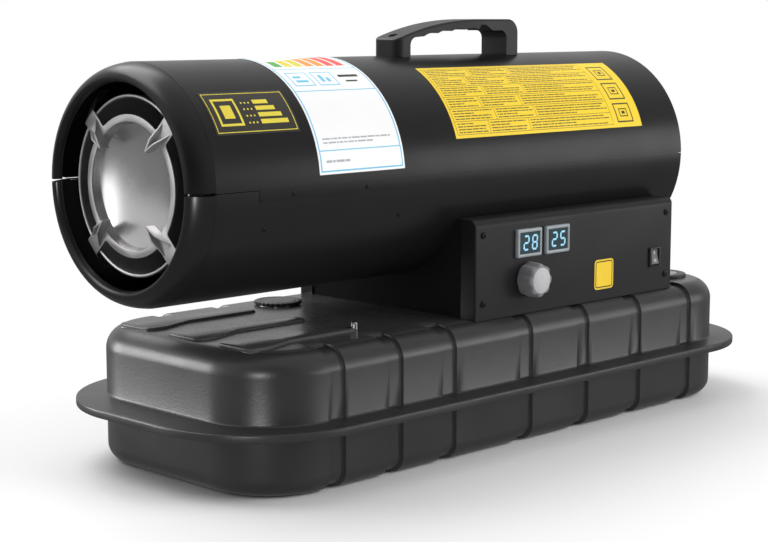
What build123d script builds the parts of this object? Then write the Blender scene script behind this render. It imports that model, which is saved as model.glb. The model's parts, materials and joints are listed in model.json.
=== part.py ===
from build123d import *
import math
import os

# Forced-air diesel space heater, in millimetres. +Z is up, the hot-air outlet faces -X and the
# controls face -Y. The origin is the centre of the fuel tank's flat underside.

os.makedirs("parts", exist_ok=True)

# Clearances
seat_gap = 0.3
running_gap = 0.05
weld = 0.1

# Fuel tank
tank_length = 680
tank_width = 263
tank_height = 124.4
tank_corner = 71
tank_shoulder = 21
tank_foot_round = 16
tank_wall = 3
flange_length = 755
flange_width = 312
flange_corner = 113
flange_low = 54.5
flange_thickness = 7.7
channel_width = 18
channel_depth = 3
channel_reach = 28
channel_end_margin = 85
channel_pitches = [70.5, 69.5, 107, 85, 84.5, 86]
tongue_rise = 2.5
tongue_pitch = 70
tongue_length = 138
tongue_head_length = 20
tongue_slope_length = 34
tongue_head_width = 46
tongue_neck_width = 24
tongue_round = 8

# Filler, cap and strainer
filler_x = -136
filler_y = 80
filler_bore = 17
strainer_wall = 0.8
strainer_depth = 40
strainer_rim = 0.5
strainer_slots = 8
strainer_slot_width = 5
strainer_rim_inset = 3
strainer_bar = 2
gasket_thickness = 0.9
gasket_inset = 2
cap_radius = 23.5
cap_thickness = 2.8
cap_plug_depth = 9
cap_plug_wall = 2
cap_notches = 28
cap_notch_radius = 1.2

# Fuel gauge
gauge_x = 288
gauge_y = -66
gauge_radius = 29
gauge_flange = 3.1
gauge_window = 19.5
gauge_ledge = 1.2
gauge_pocket_depth = 2.4
gauge_neck = 15.7
gauge_neck_depth = 6
lens_thickness = 1
guide_radius = 1.5
guide_spacing = 9
guide_foot_gap = 5
guide_bridge = 3
float_radius = 13
float_height = 14
float_gap = 0.4
spindle_width = 3
spindle_thickness = 0.8
spindle_pin = 1.2
spindle_turn = 240
spindle_steps = 12
pointer_length = 14
pointer_tail = 4
pointer_root = 1.2
pointer_tip = 0.4
pointer_lift = 0.4
pointer_thickness = 0.5

# Fuel pickup and tank breather
pickup_y = 9
pickup_radius = 3
pickup_bore = 2
pickup_filter_radius = 8
pickup_filter_height = 16
pickup_filter_round = 1.5
pickup_seat = 3
pickup_rise = 24
grommet_wall = 2.5
grommet_room = 1
breather_x = -184
breather_y = -78
breather_radius = 3
breather_stem = 2
breather_rise = 8.2

# Support box
sheet = 1.5
box_front_x = -69.9
box_rear_x = 234.4
cover_face_y = 120.5
cover_top_z = 217.7
cover_bend = 8
cover_reach = 60
cover_return = 18
wall_flange = 16
cover_screw_inset = 11
cover_screw_low = 138.3
cover_screw_high = 203
screw_head_radius = 3.3
screw_head_height = 1.8
screw_shank_radius = 1.9
screw_shank_length = 8
bolt_inset_x = 24
bolt_y = 80
bolt_head_radius = 4.5
bolt_head_height = 3
bolt_shank_radius = 2.4
bolt_depth = 12
bolt_boss_wall = 4

# Displays
display_width = 35.6
display_height = 27.2
display_corner = 1.6
display_proud = 3.5
display_rim = 3.2
display_window_depth = 0.8
display_body_inset = 2.8
display_depth = 14
display_z = 191
left_display_x = 4
right_display_x = 45.6

# Thermostat and its knob
knob_x = 4.4
knob_z = 156
knob_core_radius = 15
knob_lobes = 8
knob_lobe_radius = 4.9
knob_lobe_centre = 12.1
knob_out = 17.6
knob_gap = 0.8
knob_recess_radius = 7.5
knob_recess_out = 4.5
knob_edge = 1
bush_radius = 3.6
bush_out = 3.6
thermostat_radius = 8.5
thermostat_depth = 10
thermostat_shaft_radius = 3
thermostat_shaft_out = 14
nut_across_flats = 11
nut_height = 2.2

# Power switch
switch_x = 204.7
switch_z = 158
switch_width = 18.6
switch_height = 20.3
switch_wall = 0.8
switch_proud = 2.2
switch_depth = 15
switch_corner = 1
rocker_width = 11.8
rocker_half_height = 8
rocker_out = 2.9
rocker_dip = 1.3
rocker_back = 5
rocker_taper = 2
rocker_tilt = 8
rocker_floor_gap = 1
rocker_swing_room = 0.8
rocker_pivot_in = 1
pivot_pin_radius = 1.2
pivot_pin_length = 0.6

# Panel mark and cable gland
mark_x = 121.4
mark_z = 148.5
mark_size = 30
mark_corner = 4
label_thickness = 0.3
label_lift = 0.05
gland_y = 60
gland_z = 150
gland_bore = 3.8
gland_thread_radius = 6
gland_radius = 9.5
gland_flange = 3
gland_length = 14
gland_inside = 9
gland_dome_radius = 7.6

# Electrical parts in the box
board_length = 104
board_width = 56
board_thickness = 1.6
board_x = 132
board_y = -72
board_standoff = 6
board_foot_radius = 3
board_blocks = [(-30, 10, 24, 20, 15), (2, -14, 18, 14, 11), (34, 12, 14, 22, 12), (-34, -14, 20, 10, 9)]
board_cans = [(12, 12), (36, -14)]
board_can_radius = 5
board_can_height = 14
transformer_length = 70
transformer_width = 44
transformer_height = 27
transformer_x = 118
transformer_y = 62
transformer_tab = 9
transformer_corner = 3

# Barrel
barrel_radius = 105
barrel_z = 261.5
barrel_rear_x = 269.5
shell_wall = 1.2
nose_front_x = -386
nose_length = 26
nose_drop = 13
mouth_radius = 88.4
mouth_back = 6
seam_gap = 0.3
nose_slot_height = 2.4
nose_slot_length = 22
lap_angle = 5.5
lap_front_x = -318
lap_rise = 0.5
lap_setback = 5
hose_hole_x = 38
hose_hole_radius = 16
air_hole_x = 206
air_hole_radius = 9

# Combustion chamber
tube_radius = 76.5
tube_wall = 1
tube_front_x = -370
tube_rear_x = 20
tube_bead = 1.5
tube_hole_radius = 4
tube_hole_count = 12
tube_hole_rows = [-120, -80, -40]
bracket_rows = [-309, -149]
bracket_width = 16
bracket_sheet = 1.5
bracket_angle = 18.7
bracket_foot = 12
seam_screw_rows = [-280, -194]
shell_screw_head = 2.1
shell_screw_height = 0.9
shell_screw_shank = 1.4
shell_screw_length = 4.6
head_x = 8
head_sheet = 1.2
head_rim = 9
head_slots = 12
head_slot_length = 18
head_slot_width = 4
head_slot_centre = 54
head_slot_turn = 40

# Diffuser at the outlet
diffuser_outer = 61
diffuser_inner = 55
diffuser_sheet = 1.2
arm_width = 17
arm_bend_radius = 80
arm_back_x = -352
arm_foot = 9
arm_fillet = 3
gusset_outer = 71
gusset_root = 57
gusset_half_width = 7
gusset_tip = 43.5
gusset_tip_x = -379.5
gusset_wall = 1
dome_wall = 7
dome_draft = 2.5
dome_height = 8
dome_flange = 5
dome_sheet = 1

# Burner
burner_radius = 19
burner_front_x = -2
burner_rear_x = 48
burner_collar = 27
burner_collar_thickness = 3
nozzle_bore = 7
nozzle_seat = 12
nozzle_across_flats = 16
nozzle_hex = 6
nozzle_tip = 6
nozzle_tip_radius = 3
nozzle_shoulder = 6.4
nozzle_seat_gap = 1
electrode_y = 7
electrode_z = 32
electrode_radius = 4
electrode_front_x = -14
electrode_rear_x = 42
wire_radius = 1
wire_reach = 12
wire_drop = 20
spark_gap = 2.5
lead_bend = 5
lead_turn_z = 146
lead_y = 5
lead_spacing = 3
lead_tail = 17
photocell_y = -42
photocell_radius = 6
photocell_length = 24
photocell_sight = 3.5
port_radius = 3
port_y = 9
port_drop = 12

# Motor, fan and pump
motor_radius = 42
motor_front_x = 112
motor_rear_x = 196
motor_wall = 2
bearing_radius = 9
bearing_width = 7
bearing_housing = 3
motor_shaft_radius = 4
shaft_front_x = 66
core_radius = 26
core_margin = 16
stator_gap = 1
stator_slots = 12
stator_slot_depth = 8
stator_slot_width = 4
motor_bracket_length = 60
motor_bracket_width = 60
motor_bracket_wall = 2
fan_front_x = 72
fan_depth = 30
fan_radius = 96
fan_hub_radius = 16
fan_blades = 5
fan_blade_thickness = 1.8
fan_blade_half_chord = 19
fan_blade_camber = 4
fan_pitch = 40
pump_radius = 30
pump_bore = 22.5
pump_eccentric = 1.5
pump_rotor_radius = 20
pump_length = 20
pump_side_gap = 0.3
vane_count = 4
vane_thickness = 2.4
vane_depth = 8
pump_cover_thickness = 6
filter_radius = 24
filter_length = 16

# Rear guard
guard_x = 262
guard_thickness = 1.5
guard_wire = 2.4
guard_hub = 16
guard_pitch = 13.5
guard_spokes = 6

# Hoses
hose_wall = 1.4
hose_grip = 9
hose_run_z = 142
hose_bend = 24

# Handle
handle_front_x = -68
handle_rear_x = 107
handle_half_width = 17
handle_front_z = 382.4
handle_top_z = 401
handle_crown_x = 50
handle_slope = 0.33
handle_rear_round = 14
handle_corner = 8.5
handle_edge = 2.2
grip_front_x = -50
grip_rear_x = 88.8
grip_front_z = 383.5
grip_rear_z = 389.8
grip_corner = 8
scallop_first_x = -31
scallop_last_x = 48
scallop_first_z = 384.8
scallop_last_z = 391.2
scallop_count = 4
scallop_depth = 1.7
thumb_notch_rise = 4.4
thumb_notch_wall = 2.5
thumb_notch_length = 20
handle_screw_inset = 11
handle_screw_seat_z = 373
handle_screw_radius = 2.2
handle_screw_head = 4.3
handle_screw_head_height = 2.6
handle_screw_end_radius = 100.5

# Stickers: ends along X and angles on the barrel
side_label_span = (-75, 206, 17, 63.2)
energy_label_span = (-250, -147, 4.6, 91)
front_label_span = (-353.5, -262.5, 26, 49.5)

# Sizes worked out from the ones above
tank_flat_half = tank_width / 2 - tank_shoulder
box_floor_z = tank_height + 0.2
box_half_width = cover_face_y - sheet
wall_gap = 0.2
wall_front_x = box_front_x + sheet + wall_gap
wall_rear_x = box_rear_x - sheet - wall_gap
frame_half_width = box_half_width - wall_gap
shoulder_dip = tank_shoulder - math.sqrt(tank_shoulder ** 2 - (box_half_width - tank_flat_half) ** 2)
cover_low_z = tank_height - shoulder_dip + seat_gap
arch_radius = barrel_radius + seat_gap
shell_inner = barrel_radius - shell_wall
pickup_x = hose_hole_x
barrel_axis = Axis((0, 0, barrel_z), (1, 0, 0))


# Work planes

def barrel_plane(x, y=0, z=0):
    """A plane square to the barrel at x. Its sketch axes are +Y and +Z."""
    return Plane(origin=(x, y, barrel_z + z), x_dir=(0, 1, 0), z_dir=(1, 0, 0))


def radial_plane(angle):
    """A plane through the barrel's axis. Its sketch axes are +X and the radius at this angle.

    The angle counts from the horizontal on the -Y side up over the top.
    """
    a = math.radians(angle)
    return Plane(origin=(0, 0, barrel_z), x_dir=(1, 0, 0), z_dir=(0, -math.sin(a), -math.cos(a)))


def skin_plane(x, angle, radius):
    """A plane that touches the radius round the barrel's axis at x and angle, facing outwards."""
    a = math.radians(angle)
    outward = (0, -math.cos(a), math.sin(a))
    centre = (x, radius * outward[1], barrel_z + radius * outward[2])
    return Plane(origin=centre, x_dir=(1, 0, 0), z_dir=outward)


def panel_plane(x, z, out=0):
    """A plane on the control panel's outer face, or out in front of it, facing the user."""
    return Plane(origin=(x, -cover_face_y - out, z), x_dir=(1, 0, 0), z_dir=(0, -1, 0))


# Fuel tank

def tank_block(inset):
    """The tank's outside shape, drawn in by inset on every face."""
    with BuildPart() as block:
        with BuildSketch(Plane.XY.offset(inset)):
            RectangleRounded(tank_length - 2 * inset, tank_width - 2 * inset, tank_corner - inset)
        extrude(amount=tank_height - 2 * inset)
        fillet(block.faces().sort_by(Axis.Z)[-1].edges(), tank_shoulder - inset)
        fillet(block.faces().sort_by(Axis.Z)[0].edges(), tank_foot_round - inset)
    return block.part


def channel_bands(width, reach):
    """Upright bands through both long sides, one pair at every channel, that reach this far in from the side."""
    centres = [-tank_length / 2 + channel_end_margin]
    for pitch in channel_pitches:
        centres.append(centres[-1] + pitch)
    straight = tank_length / 2 - tank_corner
    spots = [(x, side * tank_width / 2) for x in centres if abs(x) < straight for side in (-1, 1)]
    with BuildPart() as bands:
        with Locations([(x, y, tank_height / 2) for x, y in spots]):
            Box(width, 2 * reach, 2 * tank_height)
    return bands.part


grooves = channel_bands(channel_width, channel_reach) - tank_block(channel_depth)
ridge_bands = channel_bands(channel_width + 2 * tank_wall, channel_reach + tank_wall)
ridges = ridge_bands - tank_block(tank_wall + channel_depth)
cavity = tank_block(tank_wall) - ridges
tongue_front = -tank_length / 2 + tank_shoulder
tongue_slope = tongue_front + tongue_head_length
tongue_neck = tongue_slope + tongue_slope_length
tongue_end = tongue_front + tongue_length
bolt_spots = [(x, y) for x in (wall_front_x + bolt_inset_x, wall_rear_x - bolt_inset_x) for y in (-bolt_y, bolt_y)]
breather_bore = breather_stem + running_gap

with BuildPart() as fuel_tank:
    add(tank_block(0))
    add(grooves, mode=Mode.SUBTRACT)
    with BuildSketch(Plane.XY.offset(flange_low)):
        RectangleRounded(flange_length, flange_width, flange_corner)
    extrude(amount=flange_thickness)
    with BuildSketch(Plane.XY.offset(tank_height - tank_wall / 2)) as tongues:
        for row in (-tongue_pitch, 0, tongue_pitch):
            with BuildLine():
                FilletPolyline(
                    (tongue_front, row + tongue_head_width / 2),
                    (tongue_slope, row + tongue_head_width / 2),
                    (tongue_neck, row + tongue_neck_width / 2),
                    (tongue_end, row + tongue_neck_width / 2),
                    (tongue_end, row - tongue_neck_width / 2),
                    (tongue_neck, row - tongue_neck_width / 2),
                    (tongue_slope, row - tongue_head_width / 2),
                    (tongue_front, row - tongue_head_width / 2),
                    radius=tongue_round,
                    close=True,
                )
            make_face()
    extrude(amount=tank_wall / 2 + tongue_rise)
    fillet(fuel_tank.faces().filter_by(Axis.Z).group_by(Axis.Z)[-1].edges(), tongue_rise * 0.6)
    add(cavity, mode=Mode.SUBTRACT)
    with Locations([(x, y, tank_height - tank_wall / 2) for x, y in bolt_spots]):
        Cylinder(
            bolt_shank_radius + bolt_boss_wall,
            bolt_depth + tank_wall,
            align=(Align.CENTER, Align.CENTER, Align.MAX),
        )
    with Locations([(x, y, tank_height) for x, y in bolt_spots]):
        Cylinder(
            bolt_shank_radius + running_gap,
            bolt_depth,
            align=(Align.CENTER, Align.CENTER, Align.MAX),
            mode=Mode.SUBTRACT,
        )
    with Locations((filler_x, filler_y, tank_height)):
        Cylinder(filler_bore, 4 * tank_wall, mode=Mode.SUBTRACT)
    with Locations((gauge_x, gauge_y, tank_height)):
        Cylinder(gauge_neck + seat_gap, 4 * tank_wall, mode=Mode.SUBTRACT)
    with Locations((pickup_x, pickup_y, tank_height)):
        Cylinder(pickup_radius + grommet_wall, 4 * tank_wall, mode=Mode.SUBTRACT)
    with Locations((breather_x, breather_y, tank_height)):
        Cylinder(breather_bore, 4 * tank_wall, mode=Mode.SUBTRACT)
    with BuildSketch(Plane.XY.offset(tank_height)):
        with Locations((breather_x, breather_y)):
            Circle(breather_radius + seat_gap)
    extrude(amount=2 * tongue_rise, mode=Mode.SUBTRACT)
fuel_tank.part.label = "fuel_tank"
export_step(fuel_tank.part, "parts/fuel_tank.step")


# Filler: strainer in the tank's hole, gasket on its rim and cap on the gasket

strainer_outer = filler_bore - seat_gap
strainer_inner = strainer_outer - strainer_wall
rim_top = tank_height + strainer_rim
gasket_top = rim_top + gasket_thickness
cap_plug = strainer_inner - seat_gap

with BuildPart() as filler_strainer:
    with BuildSketch(Plane.XY.offset(tank_height)):
        with Locations((filler_x, filler_y)):
            Circle(cap_radius - strainer_rim_inset)
            Circle(strainer_inner, mode=Mode.SUBTRACT)
    extrude(amount=strainer_rim)
    with BuildSketch(Plane.XY.offset(tank_height)):
        with Locations((filler_x, filler_y)):
            Circle(strainer_outer)
            Circle(strainer_inner, mode=Mode.SUBTRACT)
    extrude(amount=-strainer_depth)
    with Locations((filler_x, filler_y, tank_height - strainer_depth * 0.6)):
        with PolarLocations(strainer_outer, strainer_slots, start_angle=180 / strainer_slots):
            Box(4 * strainer_wall, strainer_slot_width, strainer_depth / 2, mode=Mode.SUBTRACT)
    with BuildSketch(Plane.XY.offset(tank_height - strainer_depth)):
        with Locations((filler_x, filler_y)):
            Rectangle(2 * strainer_outer - strainer_wall, strainer_bar)
            Rectangle(strainer_bar, 2 * strainer_outer - strainer_wall)
    extrude(amount=strainer_wall)
filler_strainer.part.label = "filler_strainer"
export_step(filler_strainer.part, "parts/filler_strainer.step")

with BuildPart() as cap_gasket:
    with BuildSketch(Plane.XY.offset(rim_top)):
        with Locations((filler_x, filler_y)):
            Circle(cap_radius - gasket_inset)
            Circle(filler_bore, mode=Mode.SUBTRACT)
    extrude(amount=gasket_thickness)
cap_gasket.part.label = "cap_gasket"
export_step(cap_gasket.part, "parts/cap_gasket.step")

with BuildPart() as filler_cap:
    with BuildSketch(Plane.XY.offset(gasket_top)):
        with Locations((filler_x, filler_y)):
            Circle(cap_radius)
            with PolarLocations(cap_radius + cap_notch_radius / 2, cap_notches):
                Circle(cap_notch_radius, mode=Mode.SUBTRACT)
    extrude(amount=cap_thickness)
    with BuildSketch(Plane.XY.offset(gasket_top)):
        with Locations((filler_x, filler_y)):
            Circle(cap_plug)
            Circle(cap_plug - cap_plug_wall, mode=Mode.SUBTRACT)
    extrude(amount=-cap_plug_depth)
filler_cap.part.label = "filler_cap"
export_step(filler_cap.part, "parts/filler_cap.step")


# Fuel gauge: the float climbs the guides and turns the twisted spindle, which turns the pointer

gauge_top = tank_height + gauge_flange
pocket_floor = gauge_top - gauge_pocket_depth
neck_low = tank_height - gauge_neck_depth
guide_low = tank_wall + guide_foot_gap
spindle_low = guide_low + guide_bridge + seat_gap
spindle_high = neck_low - seat_gap
float_low = spindle_low + float_gap
guide_hole = guide_radius + float_gap
spindle_hole = spindle_width / 2 + float_gap

with BuildPart() as gauge_body:
    with BuildSketch(Plane.XY.offset(tank_height)):
        with Locations((gauge_x, gauge_y)):
            Circle(gauge_radius)
    extrude(amount=gauge_flange)
    fillet(gauge_body.faces().sort_by(Axis.Z)[-1].edges(), gauge_flange / 4)
    with BuildSketch(Plane.XY.offset(neck_low)):
        with Locations((gauge_x, gauge_y)):
            Circle(gauge_neck)
    extrude(amount=gauge_neck_depth)
    with BuildSketch(Plane.XY.offset(gauge_top)):
        with Locations((gauge_x, gauge_y)):
            Circle(gauge_window)
    extrude(amount=-lens_thickness, mode=Mode.SUBTRACT)
    with BuildSketch(Plane.XY.offset(gauge_top)):
        with Locations((gauge_x, gauge_y)):
            Circle(gauge_window - gauge_ledge)
    extrude(amount=-gauge_pocket_depth, mode=Mode.SUBTRACT)
    with BuildSketch(Plane.XY.offset(guide_low)):
        with Locations((gauge_x, gauge_y)):
            SlotCenterToCenter(2 * guide_spacing, 4 * guide_radius)
    extrude(amount=guide_bridge)
    with BuildSketch(Plane.XY.offset(guide_low)):
        with Locations((gauge_x - guide_spacing, gauge_y), (gauge_x + guide_spacing, gauge_y)):
            Circle(guide_radius)
    extrude(amount=neck_low - guide_low)
    with Locations((gauge_x, gauge_y, pocket_floor)):
        Cylinder(
            spindle_pin + running_gap,
            pocket_floor - neck_low,
            align=(Align.CENTER, Align.CENTER, Align.MAX),
            mode=Mode.SUBTRACT,
        )
gauge_body.part.label = "gauge_body"
export_step(gauge_body.part, "parts/gauge_body.step")

with BuildPart() as gauge_lens:
    with BuildSketch(Plane.XY.offset(gauge_top - lens_thickness)):
        with Locations((gauge_x, gauge_y)):
            Circle(gauge_window - running_gap)
    extrude(amount=lens_thickness)
gauge_lens.part.label = "gauge_lens"
export_step(gauge_lens.part, "parts/gauge_lens.step")

with BuildPart() as gauge_spindle:
    for step in range(spindle_steps + 1):
        turn = math.radians(spindle_turn * step / spindle_steps)
        height = spindle_low + (spindle_high - spindle_low) * step / spindle_steps
        section = Plane(
            origin=(gauge_x, gauge_y, height), x_dir=(math.cos(turn), math.sin(turn), 0), z_dir=(0, 0, 1)
        )
        with BuildSketch(section):
            Rectangle(spindle_width, spindle_thickness)
    loft(ruled=True)
    with BuildSketch(Plane.XY.offset(spindle_high)):
        with Locations((gauge_x, gauge_y)):
            Circle(spindle_pin)
    extrude(amount=pocket_floor + pointer_lift - spindle_high)
gauge_spindle.part.label = "gauge_spindle"
export_step(gauge_spindle.part, "parts/gauge_spindle.step")

with BuildPart() as gauge_pointer:
    with BuildSketch(Plane.XY.offset(pocket_floor + pointer_lift)):
        with Locations((gauge_x, gauge_y)):
            Circle(2 * spindle_pin)
        with BuildLine():
            Polyline(
                (gauge_x - pointer_root, gauge_y - pointer_tail),
                (gauge_x + pointer_root, gauge_y - pointer_tail),
                (gauge_x + pointer_tip, gauge_y + pointer_length),
                (gauge_x - pointer_tip, gauge_y + pointer_length),
                close=True,
            )
        make_face()
    extrude(amount=pointer_thickness)
gauge_pointer.part.label = "gauge_pointer"
export_step(gauge_pointer.part, "parts/gauge_pointer.step")

with BuildPart() as gauge_float:
    with BuildSketch(Plane.XY.offset(float_low)):
        with Locations((gauge_x, gauge_y)):
            Circle(float_radius)
            Circle(spindle_hole, mode=Mode.SUBTRACT)
        with Locations((gauge_x - guide_spacing, gauge_y), (gauge_x + guide_spacing, gauge_y)):
            Circle(guide_hole, mode=Mode.SUBTRACT)
    extrude(amount=float_height)
gauge_float.part.label = "gauge_float"
export_step(gauge_float.part, "parts/gauge_float.step")


# Fuel pickup through its grommet, and the tank's breather

pickup_top = tank_height + pickup_rise
pickup_foot = tank_wall + pickup_filter_radius / 2

with BuildPart() as pickup_grommet:
    with BuildSketch(Plane.XY.offset(tank_height)):
        with Locations((pickup_x, pickup_y)):
            Circle(pickup_radius + 2 * grommet_wall)
    extrude(amount=grommet_wall)
    with BuildSketch(Plane.XY.offset(tank_height)):
        with Locations((pickup_x, pickup_y)):
            Circle(pickup_radius + grommet_wall - running_gap)
    extrude(amount=-2 * tank_wall)
    with Locations((pickup_x, pickup_y, tank_height)):
        Cylinder(pickup_radius + running_gap, 6 * tank_wall, mode=Mode.SUBTRACT)
pickup_grommet.part.label = "pickup_grommet"
export_step(pickup_grommet.part, "parts/pickup_grommet.step")

with BuildPart() as fuel_pickup:
    with BuildSketch(Plane.XY.offset(pickup_foot + pickup_seat)):
        with Locations((pickup_x, pickup_y)):
            Circle(pickup_radius)
            Circle(pickup_bore, mode=Mode.SUBTRACT)
    extrude(amount=pickup_top - pickup_foot - pickup_seat)
fuel_pickup.part.label = "fuel_pickup"
export_step(fuel_pickup.part, "parts/fuel_pickup.step")

with BuildPart() as pickup_filter:
    with BuildSketch(Plane.XY.offset(pickup_foot)):
        with Locations((pickup_x, pickup_y)):
            Circle(pickup_filter_radius)
    extrude(amount=pickup_filter_height)
    fillet(pickup_filter.edges().filter_by(GeomType.CIRCLE), pickup_filter_round)
    with Locations((pickup_x, pickup_y, pickup_foot + pickup_seat)):
        Cylinder(
            pickup_radius + running_gap,
            pickup_filter_height,
            align=(Align.CENTER, Align.CENTER, Align.MIN),
            mode=Mode.SUBTRACT,
        )
pickup_filter.part.label = "pickup_filter"
export_step(pickup_filter.part, "parts/pickup_filter.step")

with BuildPart() as tank_breather:
    with BuildSketch(Plane.XY.offset(tank_height)):
        with Locations((breather_x, breather_y)):
            Circle(breather_radius)
    extrude(amount=breather_rise)
    fillet(tank_breather.faces().sort_by(Axis.Z)[-1].edges(), breather_radius * 0.8)
    with BuildSketch(Plane.XY.offset(tank_height)):
        with Locations((breather_x, breather_y)):
            Circle(breather_stem)
    extrude(amount=-2 * tank_wall)
tank_breather.part.label = "tank_breather"
export_step(tank_breather.part, "parts/tank_breather.step")


# Support box: the frame stands on the tank, and a cover folds over each side

def cross_plane(x):
    """A plane square to X at x. Its sketch axes are +Y and +Z, measured from the origin."""
    return Plane(origin=(x, 0, 0), x_dir=(0, 1, 0), z_dir=(1, 0, 0))


wall_top_z = cover_top_z - sheet - wall_gap
flange_top_z = cover_top_z - 2 * cover_bend
cover_screw_xs = [box_front_x + cover_screw_inset, box_rear_x - cover_screw_inset]
cover_screw_zs = [cover_screw_low, cover_screw_high]
cover_screw_spots = [(x, z) for x in cover_screw_xs for z in cover_screw_zs]
cover_screw_hole = screw_shank_radius + running_gap
display_body_width = display_width - 2 * display_body_inset
display_body_height = display_height - 2 * display_body_inset
switch_cavity_width = rocker_width + 2 * wall_gap
switch_cavity_height = 2 * (rocker_half_height + rocker_swing_room)
switch_body_width = switch_cavity_width + 2 * switch_wall
switch_body_height = switch_cavity_height + 2 * switch_wall
gland_hole = gland_thread_radius + running_gap
grommet_hole = pickup_radius + 2 * grommet_wall + grommet_room

with BuildPart() as arch_cut:
    with BuildSketch(barrel_plane(-tank_length)):
        Circle(arch_radius)
    extrude(amount=2 * tank_length)


def cover_shell():
    """The folded cover for the -Y side: its face, its top flange and the returns round both ends."""
    with BuildPart() as cover:
        with BuildSketch(cross_plane(box_front_x)):
            with BuildLine():
                FilletPolyline(
                    (-cover_face_y + sheet / 2, cover_low_z),
                    (-cover_face_y + sheet / 2, cover_top_z - sheet / 2),
                    (-cover_face_y + cover_reach, cover_top_z - sheet / 2),
                    radius=cover_bend - sheet / 2,
                )
            trace(line_width=sheet)
        extrude(amount=box_rear_x - box_front_x)
        for end_x in (box_front_x, box_rear_x - sheet):
            with BuildSketch(cross_plane(end_x)) as cover_end:
                with Locations((-cover_face_y, box_floor_z)):
                    Rectangle(cover_return, cover_top_z - box_floor_z, align=(Align.MIN, Align.MIN))
                fillet(cover_end.vertices().group_by(Axis.Y)[-1].sort_by(Axis.X)[0], cover_bend)
            extrude(amount=sheet)
        add(arch_cut.part, mode=Mode.SUBTRACT)
        with Locations([panel_plane(x, z) for x, z in cover_screw_spots]):
            Cylinder(cover_screw_hole, 4 * sheet, mode=Mode.SUBTRACT)
    return cover.part


with BuildPart() as base_frame:
    for wall_x in (wall_front_x, wall_rear_x - sheet):
        with BuildSketch(cross_plane(wall_x)) as frame_wall:
            with Locations((0, box_floor_z)):
                Rectangle(2 * frame_half_width, wall_top_z - box_floor_z, align=(Align.CENTER, Align.MIN))
            fillet(frame_wall.vertices().group_by(Axis.Y)[-1], cover_bend - sheet)
        extrude(amount=sheet)
    with BuildSketch(Plane.XY.offset(box_floor_z)):
        with Locations(((wall_front_x + wall_rear_x) / 2, 0)):
            Rectangle(wall_rear_x - wall_front_x, 2 * frame_half_width)
    extrude(amount=sheet)
    with Locations(
        (wall_front_x + wall_flange / 2, -frame_half_width + sheet / 2, (box_floor_z + flange_top_z) / 2),
        (wall_front_x + wall_flange / 2, frame_half_width - sheet / 2, (box_floor_z + flange_top_z) / 2),
        (wall_rear_x - wall_flange / 2, -frame_half_width + sheet / 2, (box_floor_z + flange_top_z) / 2),
        (wall_rear_x - wall_flange / 2, frame_half_width - sheet / 2, (box_floor_z + flange_top_z) / 2),
    ):
        Box(wall_flange, sheet, flange_top_z - box_floor_z)
    add(arch_cut.part, mode=Mode.SUBTRACT)
    with Locations([Plane(origin=(x, 0, z), z_dir=(0, 1, 0)) for x, z in cover_screw_spots]):
        Cylinder(cover_screw_hole, 3 * cover_face_y, mode=Mode.SUBTRACT)
    with Locations([(x, y, box_floor_z) for x, y in bolt_spots]):
        Cylinder(bolt_shank_radius + running_gap, 4 * sheet, mode=Mode.SUBTRACT)
    with Locations((pickup_x, pickup_y, box_floor_z)):
        Cylinder(grommet_hole, 4 * sheet, mode=Mode.SUBTRACT)
    with Locations((wall_rear_x, gland_y, gland_z)):
        Cylinder(gland_hole, 4 * sheet, rotation=(0, 90, 0), mode=Mode.SUBTRACT)
base_frame.part.label = "base_frame"
export_step(base_frame.part, "parts/base_frame.step")

with BuildPart() as control_panel:
    add(cover_shell())
    for display_x in (left_display_x, right_display_x):
        with BuildSketch(panel_plane(display_x, display_z, sheet)):
            Rectangle(display_body_width + 2 * wall_gap, display_body_height + 2 * wall_gap)
        extrude(amount=-3 * sheet, mode=Mode.SUBTRACT)
    with BuildSketch(panel_plane(switch_x, switch_z, sheet)):
        Rectangle(switch_body_width + 2 * wall_gap, switch_body_height + 2 * wall_gap)
    extrude(amount=-3 * sheet, mode=Mode.SUBTRACT)
    with BuildSketch(panel_plane(knob_x, knob_z, sheet)):
        Circle(bush_radius + running_gap)
    extrude(amount=-3 * sheet, mode=Mode.SUBTRACT)
control_panel.part.label = "control_panel"
export_step(control_panel.part, "parts/control_panel.step")

with BuildPart() as side_cover:
    mirror(cover_shell(), about=Plane.XZ)
side_cover.part.label = "side_cover"
export_step(side_cover.part, "parts/side_cover.step")

with BuildPart() as cover_screws:
    for x, z in cover_screw_spots:
        with BuildSketch(panel_plane(x, z)):
            Circle(screw_head_radius)
        extrude(amount=screw_head_height)
        with BuildSketch(panel_plane(x, z)):
            Circle(screw_shank_radius)
        extrude(amount=-screw_shank_length)
    fillet(cover_screws.faces().filter_by(Axis.Y).group_by(Axis.Y)[0].edges(), screw_head_height / 2)
    for x, z in cover_screw_spots:
        with BuildSketch(panel_plane(x, z, screw_head_height)):
            Rectangle(screw_head_radius, screw_head_radius / 4)
            Rectangle(screw_head_radius / 4, screw_head_radius)
        extrude(amount=-screw_head_height / 2, mode=Mode.SUBTRACT)
    mirror(about=Plane.XZ)
cover_screws.part.label = "cover_screws"
export_step(cover_screws.part, "parts/cover_screws.step")

with BuildPart() as base_bolts:
    with BuildSketch(Plane.XY.offset(box_floor_z + sheet)):
        with Locations(bolt_spots):
            RegularPolygon(bolt_head_radius, 6)
    extrude(amount=bolt_head_height)
    with BuildSketch(Plane.XY.offset(box_floor_z + sheet)):
        with Locations(bolt_spots):
            Circle(bolt_shank_radius)
    extrude(amount=-bolt_depth)
base_bolts.part.label = "base_bolts"
export_step(base_bolts.part, "parts/base_bolts.step")


# Panel fittings: two displays, the thermostat with its knob, the power switch and a plain mark

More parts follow.
